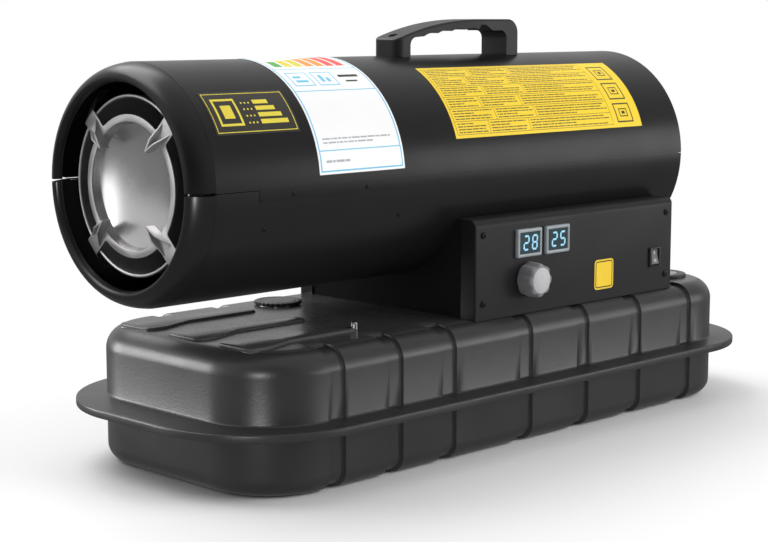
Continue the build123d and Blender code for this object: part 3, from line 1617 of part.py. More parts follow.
with BuildPart() as rear_guard:
    with BuildSketch(barrel_plane(guard_x)):
        for ring in range(guard_rings + 1):
            ring_outer = guard_rim - ring * guard_pitch
            Circle(ring_outer)
            Circle(ring_outer - guard_wire, mode=Mode.SUBTRACT)
        with PolarLocations((guard_rim - guard_wire) / 2, guard_spokes, start_angle=90):
            Rectangle(guard_rim - guard_wire, guard_wire)
        Circle(guard_hub)
    extrude(amount=guard_thickness)
rear_guard.part.label = "rear_guard"
export_step(rear_guard.part, "parts/rear_guard.step")


# Hoses from the tank and the pump up to the burner

hose_inner = port_radius + running_gap
hose_outer = port_radius + hose_wall
fuel_hose_low = pickup_top - hose_grip
hose_top_z = port_low_z + hose_grip
air_hose_end_z = barrel_z - pump_radius - port_drop + hose_grip
air_port_x = pump_front_x + pump_length / 2

with BuildPart() as fuel_hose:
    with BuildSketch(Plane.XY.offset(fuel_hose_low)):
        with Locations((hose_hole_x, port_y)):
            Circle(hose_outer)
            Circle(hose_inner, mode=Mode.SUBTRACT)
    extrude(amount=hose_top_z - fuel_hose_low)
fuel_hose.part.label = "fuel_hose"
export_step(fuel_hose.part, "parts/fuel_hose.step")

with BuildPart() as air_hose:
    with BuildLine() as air_route:
        FilletPolyline(
            (air_port_x, -port_y, air_hose_end_z),
            (air_port_x, -port_y, hose_run_z),
            (hose_hole_x, -port_y, hose_run_z),
            (hose_hole_x, -port_y, hose_top_z),
            radius=hose_bend,
        )
    with BuildSketch(Plane(origin=air_route.line @ 0, z_dir=air_route.line % 0)):
        Circle(hose_outer)
        Circle(hose_inner, mode=Mode.SUBTRACT)
    sweep()
air_hose.part.label = "air_hose"
export_step(air_hose.part, "parts/air_hose.step")


# Carrying handle with its finger grips, and the screws that hold it to the barrel

handle_low_z = barrel_z + barrel_radius / 2
grip_span = scallop_last_x - scallop_first_x


def grip_point(step):
    """The cusp after this many finger grips. The row of cusps rises towards the rear and levels out."""
    share = step / scallop_count
    rise = (scallop_last_z - scallop_first_z) * (1 - (1 - share) ** 2)
    return (scallop_first_x + grip_span * share, scallop_first_z + rise)


with BuildPart() as handle:
    with BuildSketch(Plane.XZ.offset(-handle_half_width)) as handle_outline:
        with BuildLine():
            Polyline(
                (handle_crown_x, handle_top_z),
                (handle_rear_x, handle_top_z),
                (handle_rear_x, handle_low_z),
                (handle_front_x, handle_low_z),
                (handle_front_x, handle_front_z),
            )
            Spline(
                (handle_front_x, handle_front_z),
                (handle_crown_x, handle_top_z),
                tangents=[(1, handle_slope), (1, 0)],
            )
        make_face()
        fillet(handle_outline.vertices().group_by(Axis.X)[-1].sort_by(Axis.Y)[-1], handle_rear_round)
    extrude(amount=2 * handle_half_width)
    fillet(handle.edges().filter_by(Axis.Z).group_by(Axis.X)[0], handle_corner)
    fillet(handle.edges().filter_by(Axis.Z).group_by(Axis.X)[-1], handle_edge)
    with BuildSketch(Plane.XZ.offset(-handle_half_width)) as grip_outline:
        with BuildLine():
            for step in range(scallop_count):
                here = grip_point(step)
                after = grip_point(step + 1)
                middle = ((here[0] + after[0]) / 2, (here[1] + after[1]) / 2 + scallop_depth)
                ThreePointArc(here, middle, after)
            Polyline(
                grip_point(scallop_count),
                (scallop_last_x + thumb_notch_wall, scallop_last_z + thumb_notch_rise),
                (scallop_last_x + thumb_notch_length / 2, scallop_last_z + thumb_notch_rise),
                (scallop_last_x + thumb_notch_length, grip_rear_z),
                (grip_rear_x, grip_rear_z),
                (grip_rear_x, handle_low_z),
                (grip_front_x, handle_low_z),
                (grip_front_x, grip_front_z),
                grip_point(0),
            )
        make_face()
        fillet(grip_outline.vertices().group_by(Axis.X)[-1].sort_by(Axis.Y)[-1], grip_corner)
        fillet(grip_outline.vertices().group_by(Axis.X)[0].sort_by(Axis.Y)[-1], grip_corner)
    extrude(amount=2 * handle_half_width, mode=Mode.SUBTRACT)
    with BuildSketch(barrel_plane(handle_front_x - 1)):
        Circle(barrel_radius + label_lift)
    extrude(amount=handle_rear_x - handle_front_x + 2, mode=Mode.SUBTRACT)
    with Locations([(x, 0, handle_screw_seat_z) for x in handle_screw_xs]):
        Cylinder(
            handle_screw_head + seat_gap,
            handle_top_z - handle_screw_seat_z + 1,
            align=(Align.CENTER, Align.CENTER, Align.MIN),
            mode=Mode.SUBTRACT,
        )
        Cylinder(handle_screw_radius + running_gap, 2 * handle_top_z, mode=Mode.SUBTRACT)
handle.part.label = "handle"
export_step(handle.part, "parts/handle.step")

with BuildPart() as handle_screws:
    with BuildSketch(Plane.XY.offset(handle_screw_seat_z)):
        with Locations([(x, 0) for x in handle_screw_xs]):
            Circle(handle_screw_head)
    extrude(amount=handle_screw_head_height)
    with BuildSketch(Plane.XY.offset(barrel_z + handle_screw_end_radius)):
        with Locations([(x, 0) for x in handle_screw_xs]):
            Circle(handle_screw_radius)
    extrude(amount=handle_screw_seat_z - barrel_z - handle_screw_end_radius)
    with BuildSketch(Plane.XY.offset(handle_screw_seat_z + handle_screw_head_height)):
        with Locations([(x, 0) for x in handle_screw_xs]):
            RegularPolygon(handle_screw_head / 2, 6)
    extrude(amount=-handle_screw_head_height / 2, mode=Mode.SUBTRACT)
handle_screws.part.label = "handle_screws"
export_step(handle_screws.part, "parts/handle_screws.step")


# Stickers round the barrel

stickers = {"side_label": side_label_span, "energy_label": energy_label_span, "front_label": front_label_span}
for name, (start_x, end_x, low_angle, high_angle) in stickers.items():
    inner = barrel_radius + label_lift
    sticker = ring_bar(start_x, end_x, inner, inner + label_thickness, high_angle, high_angle - low_angle)
    sticker.label = name
    export_step(sticker, f"parts/{name}.step")
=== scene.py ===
"""Looks of a forced-air diesel heater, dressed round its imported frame.

Lengths are in metres, +Z is up, the outlet faces -X and the controls face -Y. Angles on the barrel count
from the horizontal on the control side up over the top.
"""

import json
import math

import bmesh
import bpy
from bpy.props import FloatProperty, FloatVectorProperty, IntProperty, PointerProperty
from mathutils import Matrix, Vector

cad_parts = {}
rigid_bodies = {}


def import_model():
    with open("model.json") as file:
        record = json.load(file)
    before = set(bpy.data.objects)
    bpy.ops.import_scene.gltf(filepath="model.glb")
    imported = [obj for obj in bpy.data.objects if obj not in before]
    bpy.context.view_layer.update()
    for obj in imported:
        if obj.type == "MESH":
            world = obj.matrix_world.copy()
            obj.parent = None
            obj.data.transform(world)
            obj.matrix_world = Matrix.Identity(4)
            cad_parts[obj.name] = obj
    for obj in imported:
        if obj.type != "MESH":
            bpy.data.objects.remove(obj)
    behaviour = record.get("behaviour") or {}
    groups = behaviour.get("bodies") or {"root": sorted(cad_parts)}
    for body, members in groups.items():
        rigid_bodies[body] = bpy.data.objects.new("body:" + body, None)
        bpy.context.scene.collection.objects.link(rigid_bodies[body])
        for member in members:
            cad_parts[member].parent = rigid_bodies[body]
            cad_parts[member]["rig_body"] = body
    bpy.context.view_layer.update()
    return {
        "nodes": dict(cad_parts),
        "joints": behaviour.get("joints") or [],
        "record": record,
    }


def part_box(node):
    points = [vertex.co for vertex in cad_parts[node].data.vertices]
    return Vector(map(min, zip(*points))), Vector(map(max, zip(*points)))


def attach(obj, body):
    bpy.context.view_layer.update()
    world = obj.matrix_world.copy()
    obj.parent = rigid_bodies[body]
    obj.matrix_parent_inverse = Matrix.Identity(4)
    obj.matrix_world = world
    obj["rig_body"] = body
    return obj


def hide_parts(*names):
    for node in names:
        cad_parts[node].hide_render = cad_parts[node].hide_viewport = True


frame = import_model()

bl_info = {
    "name": "Diesel heater looks",
    "version": (1, 0, 0),
    "blender": (4, 5, 0),
    "location": "View3D > Sidebar > Heater",
    "description": "Builds the visible pieces of a forced-air diesel heater round its frame",
    "category": "Object",
}

MM = 0.001


def corner(node, end, axis):
    """One coordinate of a node's lowest (0) or highest (1) corner."""
    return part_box(node)[end][axis]


def middle(node):
    """The centre of a node's box."""
    low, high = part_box(node)
    return (low + high) / 2


BARREL_TOP = corner("upper_shell", 1, 2)
BARREL_RADIUS = (corner("upper_shell", 1, 1) - corner("upper_shell", 0, 1)) / 2
AXIS_Z = BARREL_TOP - BARREL_RADIUS


def length(name, about, default):
    """A length property in metres, its default given in millimetres."""
    return FloatProperty(name=name, description=about, default=default * MM, unit="LENGTH", precision=5)


def angle(name, about, degrees):
    """An angle property with its default in degrees."""
    return FloatProperty(name=name, description=about, default=math.radians(degrees), unit="ROTATION")


def colour(name, about, value):
    """A colour property, linear red, green and blue."""
    return FloatVectorProperty(name=name, description=about, default=value, subtype="COLOR", size=3, min=0, max=1)


def share(name, about, default, top=1.0):
    """A plain number from nought to top."""
    return FloatProperty(name=name, description=about, default=default, min=0, max=top)


def number(name, about, default):
    """A plain number of any size."""
    return FloatProperty(name=name, description=about, default=default)


def triple(name, about, default):
    """A place or a direction."""
    return FloatVectorProperty(name=name, description=about, default=default, subtype="XYZ")


# Sizes and colours a user may change


class BarrelSizes(bpy.types.PropertyGroup):
    """Sizes of the round barrel and its rolled nose."""

    radius: length("Radius", "Outside radius of the barrel", BARREL_RADIUS / MM)
    front_x: length("Front", "Where the rolled nose ends", corner("upper_shell", 0, 0) / MM)
    rear_x: length("Rear", "Where the barrel ends at the back", corner("upper_shell", 1, 0) / MM)
    wall: length("Wall", "Thickness of the sheet", 1.2)
    nose_length: length("Nose length", "Length of the rounded nose", 26)
    nose_drop: length("Nose drop", "How far the nose draws in", 13)
    mouth_radius: length("Mouth", "Radius of the hole in the nose", 88.4)
    mouth_back: length("Lip", "How far the lip turns back", 6)
    hem_radius: length("Hem", "Radius of the bead on the lip's edge", 0.75)
    seam_gap: length("Seam", "Gap between the two halves", 0.5)
    slot_height: length("Slot height", "Open slot where the halves meet at the nose", 2.4)
    slot_length: length("Slot length", "Length of that slot", 22)
    lap_front_x: length("Lap front", "Where the raised lap starts", -318)
    lap_rise: length("Lap rise", "How far the lap stands proud", 0.5)
    lap_angle: angle("Lap angle", "How far round the lap reaches below the seam", 5.5)
    steps: IntProperty(name="Steps", description="Steps round each half", default=150, min=24, max=400)


class OutletSizes(bpy.types.PropertyGroup):
    """Sizes of the flame tube, the diffuser ring and the dish."""

    tube_radius: length("Tube", "Outside radius of the flame tube", 76.5)
    tube_wall: length("Tube wall", "Wall of the flame tube", 1)
    bead: length("Bead", "Bead round the tube's front", 1.5)
    hole_radius: length("Holes", "Radius of the air holes in the tube", 4)
    ring_inner: length("Ring inside", "Inside radius of the diffuser ring", 55)
    sheet: length("Sheet", "Thickness of the ring and arms", 1.2)
    dish_wall: length("Dish wall", "Depth of the dish's side wall", 7)
    dish_draft: length("Dish draft", "How far that wall draws in", 2.5)
    dish_depth: length("Dish depth", "Depth of the bowl behind the wall", 8)


class TankSizes(bpy.types.PropertyGroup):
    """Sizes of the fuel tank."""

    length: length("Length", "Length of the tank's body", 680)
    width: length("Width", "Width of the tank's body", 263)
    height: length("Height", "Height of the tank's top", 124.4)
    corner: length("Corner", "Corner radius of the body", 71)
    shoulder: length("Shoulder", "Rounding of the top edge", 21)
    foot: length("Foot", "Rounding of the bottom edge", 16)
    flange_corner: length("Flange corner", "Corner radius of the flange", 113)
    flange_low: length("Flange low", "Underside of the flange", 54.5)
    flange_thick: length("Flange", "Thickness of the flange", 7.7)
    channel_width: length("Channel width", "Width of the upright channels", 18)
    channel_depth: length("Channel depth", "Depth of the upright channels", 3)
    channel_reach: length("Channel reach", "How far the channels reach over the top and underside", 28)
    channel_slope: length("Channel edge", "Width of each rounded channel edge", 1.1)
    tongue_rise: length("Tongue rise", "Height of the three raised tongues", 2.5)
    tongue_pitch: length("Tongue pitch", "Spacing of the three tongues", 70)


class BoxSizes(bpy.types.PropertyGroup):
    """Sizes of the support box and what is on its panel."""

    sheet: length("Sheet", "Thickness of the covers", 1.5)
    bend: length("Bend", "Radius of the covers' top bend", 8)
    returns: length("Returns", "How far the covers fold round the ends", 18)
    flange_end: length("Top flange", "Half width at which the top flange meets the barrel", 95.2)
    screw_radius: length("Screws", "Radius of the cover screws' heads", 3.3)
    screw_height: length("Screw height", "Height of those heads", 1.8)
    display_rim: length("Display rim", "Width of the displays' frames", 3.2)
    digit_height: length("Digits", "Height of the digits", 14.8)
    digit_width: length("Digit width", "Width of one digit", 8.4)
    digit_pitch: length("Digit pitch", "Distance between the two digits", 12.2)
    digit_stroke: length("Digit stroke", "Width of a digit's strokes", 1.9)
    digit_shift: length("Digit shift", "How far the digits sit from their display's middle", 1.6)
    rocker_lean: number("Rocker lean", "Lean of the rocker in degrees", 8.0)
    knob_lobes: IntProperty(name="Lobes", description="Number of lobes round the knob", default=8, min=3, max=24)
    knob_wave: length("Lobe depth", "Depth of the hollows between the lobes", 1.9)
    mark_size: length("Mark", "Side of the plain square mark", 30)


class Finishes(bpy.types.PropertyGroup):
    """Colours of the finishes."""

    barrel: colour("Barrel", "Gloss powder coat of the barrel", (0.0075, 0.0070, 0.0077))
    tank: colour("Tank", "Moulded black plastic of the tank", (0.026, 0.0246, 0.026))
    panel: colour("Covers", "Satin powder coat of the covers", (0.013, 0.0122, 0.0138))
    handle: colour("Handle", "Moulded plastic of the handle", (0.014, 0.0135, 0.0145))
    knob: colour("Knob", "Grey plastic of the knob", (0.22, 0.22, 0.23))
    knob_face: colour("Knob face", "Lighter face of the knob", (0.50, 0.50, 0.52))
    steel: colour("Steel", "Polished stainless sheet", (0.66, 0.65, 0.66))
    yellow: colour("Yellow", "Yellow film of the stickers", (0.93, 0.66, 0.035))
    white: colour("White", "White film of the sticker", (0.96, 0.96, 0.96))
    border: colour("Border", "Pale blue print", (0.15, 0.55, 0.80))
    digits: colour("Digits", "Light of the digits", (0.35, 0.72, 0.92))


class Studio(bpy.types.PropertyGroup):
    """Light and camera of the studio."""

    lens: number("Lens", "Focal length in millimetres on a 36 mm sensor", 82.76)
    bearing: angle("Bearing", "Camera's direction round the heater", -44.83)
    rise: angle("Rise", "Camera's height angle", 8.22)
    place: triple("Place", "Where the camera stands", (-1.26766, -1.20582, 0.40416))
    floor_radius: length("Floor", "Radius of the pale floor", 9000)
    fade_start: length("Fade start", "Distance at which the floor starts to fade to white", 360)
    fade_end: length("Fade end", "Distance at which the floor is white", 820)
    floor_mirror: share("Floor mirror", "Brightness of the floor in reflections", 0.22)
    bright_way: triple("Bright way", "Direction of the bright side of the studio", (-0.20, 0.85, 0.50))
    dim_edge: number("Dim edge", "Cosine at which the studio is dimmest", -0.45)
    bright_edge: number("Bright edge", "Cosine at which it is brightest", 0.55)
    back_light: share("Back light", "Brightness of the studio behind the heater", 0.65, 4)
    front_light: share("Front light", "Brightness of the studio on the camera's side", 0.30, 4)
    dark_way: triple("Dark way", "Direction of the dark card in front of the heater", (-0.70, -0.70, 0.10))
    card_edge: number("Card edge", "Cosine at the card's soft edge", 0.50)
    card_core: number("Card core", "Cosine at which the card is darkest", 0.94)
    card_light: share("Card light", "Share of the light that the card leaves", 0.2)
    top_power: share("Top lamp", "Power of the large lamp above and behind", 46.0, 2000)
    left_power: share("Left lamp", "Power of the lamp behind the outlet", 9.0, 2000)
    side_power: share("Side lamp", "Power of the lamp that shines along the tank", 9.0, 2000)
    edge_power: share("Edge lamp", "Power of the lamp that shines on the tank's edges", 8.0, 2000)
    nose_power: share("Nose lamp", "Power of the lamp that shines on the nose", 24.0, 2000)
    outlet_power: share("Outlet lamp", "Power of the lamp that shines into the outlet", 5.0, 2000)
    right_power: share("Right lamp", "Power of the lamp at the rear end", 6.5, 2000)
    fill_power: share("Fill lamp", "Power of the lamp in front, which leaves no reflection", 46.0, 2000)


# Mesh helpers


def add(name, data):
    """A new object in the scene."""
    obj = bpy.data.objects.new(name, data)
    bpy.context.scene.collection.objects.link(obj)
    return obj


def new_object(name, verts, faces, material, sharp=32):
    """A mesh object with merged doubles, outward faces and edges kept sharp past an angle, in a named finish."""
    mesh = bpy.data.meshes.new(name)
    mesh.from_pydata([tuple(v) for v in verts], [], faces)
    work = bmesh.new()
    work.from_mesh(mesh)
    bmesh.ops.remove_doubles(work, verts=work.verts, dist=1e-7)
    bmesh.ops.recalc_face_normals(work, faces=work.faces)
    work.to_mesh(mesh)
    work.free()
    mesh.materials.append(MATERIALS[material])
    obj = add(name, mesh)
    soften(obj, sharp)
    return obj


def soften(obj, sharp):
    """Smooth shading with edges kept sharp past this many degrees."""
    obj.data.shade_smooth()
    obj.data.set_sharp_from_angle(angle=math.radians(sharp))


def settle(obj, sharp=32):
    """Puts the result of an object's modifiers in its mesh and takes the modifiers off."""
    bpy.context.view_layer.update()
    settled = bpy.data.meshes.new_from_object(obj.evaluated_get(bpy.context.evaluated_depsgraph_get()))
    obj.modifiers.clear()
    old = obj.data
    obj.data = settled
    settled.name = obj.name
    bpy.data.meshes.remove(old)
    soften(obj, sharp)
    return obj


def cut(obj, tool, sharp=32):
    """Takes the tool's volume out of obj and removes the tool."""
    bite = obj.modifiers.new("cut", "BOOLEAN")
    bite.operation = "DIFFERENCE"
    bite.solver = "EXACT"
    bite.object = tool
    settle(obj, sharp)
    bpy.data.objects.remove(tool)
    return obj


def join(name, pieces, sharp=32):
    """Joins pieces into one object that keeps each one's material."""
    mesh = bpy.data.meshes.new(name)
    work = bmesh.new()
    materials = []
    for piece in pieces:
        start = len(work.faces)
        work.from_mesh(piece.data)
        work.faces.ensure_lookup_table()
        own = [materials.index(m) if m in materials else materials.append(m) or len(materials) - 1
               for m in piece.data.materials]
        for face in work.faces[start:]:
            face.material_index = own[face.material_index]
    work.to_mesh(mesh)
    work.free()
    for material in materials:
        mesh.materials.append(material)
    for piece in pieces:
        bpy.data.objects.remove(piece)
    obj = add(name, mesh)
    soften(obj, sharp)
    return obj


def loft(name, rings, material, looped=False, sharp=32):
    """A skin over equal closed rings of points. looped joins the last ring to the first."""
    count = len(rings[0])
    verts = [point for ring in rings for point in ring]
    faces = []
    for row in range(len(rings) if looped else len(rings) - 1):
        here = row * count
        after = (row + 1) % len(rings) * count
        for i in range(count):
            j = (i + 1) % count
            faces.append((here + i, here + j, after + j, after + i))
    if not looped:
        faces.append(tuple(range(count)))
        faces.append(tuple(range(len(verts) - count, len(verts))))
    return new_object(name, verts, faces, material, sharp)


def on_barrel(x, degrees, radius):
    """The point at this x, angle and radius round the barrel's axis."""
    a = math.radians(degrees)
    return Vector((x, -radius * math.cos(a), AXIS_Z + radius * math.sin(a)))


def outward(degrees):
    """The direction away from the barrel's axis at an angle."""
    return tuple(on_barrel(0, degrees, 1) - on_barrel(0, degrees, 0))


def spin(name, outline, material, start=0.0, end=360.0, steps=144, sharp=32):
    """Turns a closed outline of (x, radius) points round the barrel's axis."""
    full = abs(end - start) >= 360
    count = steps if full else steps + 1
    angles = [start + (end - start) * i / steps for i in range(count)]
    rings = [[on_barrel(x, a, r) for x, r in outline] for a in angles]
    return loft(name, rings, material, looped=full, sharp=sharp)


def circle(radius, steps):
    """Points round the origin."""
    return [(radius * math.cos(math.tau * k / steps), radius * math.sin(math.tau * k / steps)) for k in range(steps)]


def arc(centre, radius, start, end, steps):
    """Points on an arc, or on an ellipse's arc where radius is a pair. Angles are in degrees."""
    wide, tall = radius if isinstance(radius, tuple) else (radius, radius)
    points = []
    for i in range(steps + 1):
        a = math.radians(start + (end - start) * i / steps)
        points.append((centre[0] + wide * math.cos(a), centre[1] + tall * math.sin(a)))
    return points


def rounded_outline(width, height, radius, steps=6):
    """A rectangle round the origin with rounded corners."""
    w, h = width / 2 - radius, height / 2 - radius
    points = []
    for x, y, start in ((w, h, 0), (-w, h, 90), (-w, -h, 180), (w, -h, 270)):
        points += arc((x, y), radius, start, start + 90, steps)
    return points


def prism(name, outline, place, low, high, material):
    """A closed outline raised from low to high. place turns (u, v, height) into a point."""
    return loft(name, [[place(u, v, h) for u, v in outline] for h in (low, high)], material)


def on_panel(x, z):
    """Places (u, v, height) on the control panel round (x, z): u along X, v up, height towards the user."""
    face = corner("control_panel", 0, 1)
    return lambda u, v, h: Vector((x + u, face - h, z + v))


def in_mm(*points):
    """Points given in millimetres."""
    return [tuple(part * MM for part in point) for point in points]


def on_top(x, y, z):
    """Places (u, v, height) on a level face at z round (x, y)."""
    return lambda u, v, h: Vector((x + u, y + v, z + h))


def wavy_ring(place, radius, height, steps, *row):
    """A ring of points round place's height axis, each as far from it as radius says for its angle and row."""
    angles = [math.tau * i / steps for i in range(steps)]
    return [place(radius(a, *row) * math.cos(a), radius(a, *row) * math.sin(a), height) for a in angles]


def framed(place, rows, steps=5):
    """Rings for a loft: rounded rectangles of (width, height, corner radius, level)."""
    return [[place(u, v, level) for u, v in rounded_outline(w, h, r, steps)] for w, h, r, level in rows]


def turned(name, outline, place, material, steps=96, sharp=32):
    """Turns a closed outline of (radius, height) points round place's height axis."""
    rings = []
    for i in range(steps):
        a = 2 * math.pi * i / steps
        rings.append([place(r * math.cos(a), r * math.sin(a), h) for r, h in outline])
    return loft(name, rings, material, looped=True, sharp=sharp)


def finish_piece(obj, body, slot, *nodes):
    """Puts a piece on its body and hides the nodes that it stands for. slot is not used."""
    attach(obj, body)
    if nodes:
        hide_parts(*nodes)
    return obj


# Shader groups and materials


def feed(tree, node, inputs):
    """Fills a node's inputs. Each is a value, or a socket to join to it."""
    for key, value in inputs.items():
        if isinstance(value, bpy.types.NodeSocket):
            tree.links.new(value, node.inputs[key])
        else:
            node.inputs[key].default_value = value
    return node


def put(tree, kind, inputs=None, **settings):
    """Adds a node with these inputs and settings."""
    node = tree.nodes.new(kind)
    for key, value in settings.items():
        setattr(node, key, value)
    return feed(tree, node, inputs or {})


def first(tree, kind, inputs=None, **settings):
    """Adds a node and gives its first output."""
    return put(tree, kind, inputs, **settings).outputs[0]


def calc(tree, operation, *values):
    """A Math node's output."""
    return first(tree, "ShaderNodeMath", dict(enumerate(values)), operation=operation)


def vector(tree, operation, *values, **more):
    """A Vector Math node's vector."""
    return first(tree, "ShaderNodeVectorMath", {**dict(enumerate(values)), **more}, operation=operation)


def mapped(tree, value, source=(0.0, 1.0), target=(0.0, 1.0), **settings):
    """A value mapped from one range to another."""
    ranges = dict(zip(("From Min", "From Max", "To Min", "To Max"), (*source, *target)))
    return first(tree, "ShaderNodeMapRange", {"Value": value, **ranges}, **settings)


def object_place(tree):
    """The point that is being shaded, in its piece's own coordinates."""
    return put(tree, "ShaderNodeTexCoord").outputs["Object"]


def shader_group(name, inputs, outputs):
    """An empty shader group with these sockets: the group, the values given to it and its end node."""
    group = bpy.data.node_groups.new(name, "ShaderNodeTree")
    for label, kind, default in inputs:
        group.interface.new_socket(label, in_out="INPUT", socket_type=kind).default_value = default
    for label, kind in outputs:
        group.interface.new_socket(label, in_out="OUTPUT", socket_type=kind)
    return group, group.nodes.new("NodeGroupInput").outputs, group.nodes.new("NodeGroupOutput")


def uneven_tone():
    """A colour that drifts a little over the surface, and the drift itself from nought to one."""
    group, given, result = shader_group(
        "Uneven tone",
        [("Base", "NodeSocketColor", (0.5, 0.5, 0.5, 1)), ("Scale", "NodeSocketFloat", 20.0),
         ("Amount", "NodeSocketFloat", 0.1)],
        [("Colour", "NodeSocketColor"), ("Drift", "NodeSocketFloat")],
    )
    place = object_place(group)
    cloud = first(group, "ShaderNodeTexNoise", {"Vector": place, "Scale": given["Scale"], "Detail": 4.0})
    drift = mapped(group, cloud, (0.3, 0.7))
    swing = calc(group, "SUBTRACT", drift, 0.5)
    factor = calc(group, "MULTIPLY_ADD", swing, given["Amount"], 1.0)
    tinted = vector(group, "SCALE", given["Base"], Scale=factor)
    feed(group, result, {"Colour": tinted, "Drift": drift})
    return group


def surface_group(name, scale, depth):
    """An empty shader group for a surface's normal."""
    return shader_group(name, [("Scale", "NodeSocketFloat", scale), ("Depth", "NodeSocketFloat", depth)],
                        [("Normal", "NodeSocketVector")])


def raised(group, height, given, result, invert=False):
    """Ends a surface group with the normal of this height."""
    bump = first(group, "ShaderNodeBump", {"Height": height, "Distance": given["Depth"]}, invert=invert)
    feed(group, result, {"Normal": bump})
    return group


def fine_grain():
    """The faint texture of powder coat and smooth plastic, as a normal."""
    group, given, result = surface_group("Fine grain", 900.0, 0.00002)
    place = object_place(group)
    cloud = first(group, "ShaderNodeTexNoise",
                {"Vector": place, "Scale": given["Scale"], "Detail": 2.0, "Roughness": 0.5})
    return raised(group, cloud, given, result)


def leather_grain():
    """The pebbled texture of moulded plastic, as a normal."""
    group, given, result = surface_group("Leather grain", 520.0, 0.00008)
    place = object_place(group)
    bend = put(group, "ShaderNodeTexNoise", {"Vector": place, "Scale": 240.0, "Detail": 1.0})
    shift = vector(group, "SCALE", bend.outputs["Color"], Scale=0.0025)
    bent = vector(group, "ADD", place, shift)
    cells = first(group, "ShaderNodeTexVoronoi", {"Vector": bent, "Scale": given["Scale"]},
                feature="SMOOTH_F1")
    return raised(group, cells, given, result, invert=True)


def spun_lines():
    """Faint rings round the barrel's axis, as left by spinning sheet metal, as a normal."""
    group, given, result = surface_group("Spun lines", 900.0, 0.00001)
    place = object_place(group)
    axis = vector(group, "SUBTRACT", place, (0, 0, AXIS_Z))
    flat = vector(group, "MULTIPLY", axis, (0, 1, 1))
    radius = put(group, "ShaderNodeVectorMath", {0: flat}, operation="LENGTH").outputs["Value"]
    along = first(group, "ShaderNodeSeparateXYZ", {0: axis})
    line = calc(group, "ADD", radius, along)
    lines = first(group, "ShaderNodeTexNoise", {"W": line, "Scale": given["Scale"], "Detail": 3.0},
                noise_dimensions="1D")
    return raised(group, lines, given, result)


GROUPS = {}
MATERIALS = {}
# Scales of the drifting tone, on a surface and on a lit bar, and the roughness of every clear coat.
TONE_SCALE = 22
DIGIT_TONE_SCALE = 400
COAT_ROUGHNESS = 0.12


def shared(name):
    """A shared shader group, made on first use."""
    makers = {"tone": uneven_tone, "grain": fine_grain, "leather": leather_grain, "spun": spun_lines}
    if name not in GROUPS:
        GROUPS[name] = makers[name]()
    return GROUPS[name]


def toned(tree, base, scale, amount):
    """A node that lets a colour drift a little."""
    return put(tree, "ShaderNodeGroup", {"Base": (*base, 1), "Scale": scale, "Amount": amount},
               node_tree=shared("tone"))


def new_material(name):
    """A material with its node tree and its shader."""
    material = bpy.data.materials.new(name)
    material.use_nodes = True
    return material, material.node_tree, material.node_tree.nodes["Principled BSDF"]


def finish(name, base, roughness, metal=0.0, texture="grain", scale=900.0, depth=0.02, drift=0.14, spread=0.08,
           coat=0.0, specular=0.5):
    """A material of one base colour whose tone, roughness and surface vary. depth is in millimetres."""
    material, tree, shader = new_material(name)
    tone = toned(tree, base, TONE_SCALE, drift)
    surface = put(tree, "ShaderNodeGroup", {"Scale": scale, "Depth": depth * MM}, node_tree=shared(texture))
    rough = mapped(tree, tone.outputs["Drift"], target=(max(roughness - spread / 2, 0), roughness + spread / 2))
    feed(tree, shader, {
        "Base Color": tone.outputs["Colour"], "Roughness": rough, "Normal": surface.outputs["Normal"],
        "Metallic": metal, "Coat Weight": coat, "Coat Roughness": COAT_ROUGHNESS, "Specular IOR Level": specular})
    MATERIALS[name] = material
    return material


def glass(name, tint):
    """Clear plastic."""
    material = finish(name, tint, 0.04, depth=0.002, spread=0.02, drift=0.02)
    tree = material.node_tree
    feed(tree, tree.nodes["Principled BSDF"], {"Transmission Weight": 1.0, "IOR": 1.45})
    return material


def lit(name, tint, strength):
    """A segment that shines by itself, its tint drifting a little over it."""
    material = finish(name, (0.02, 0.05, 0.06), 0.3, depth=0.002)
    tree = material.node_tree
    shader = tree.nodes["Principled BSDF"]
    tone = toned(tree, tint, DIGIT_TONE_SCALE, 0.25)
    feed(tree, shader, {"Emission Color": tone.outputs["Colour"], "Emission Strength": strength})
    return material


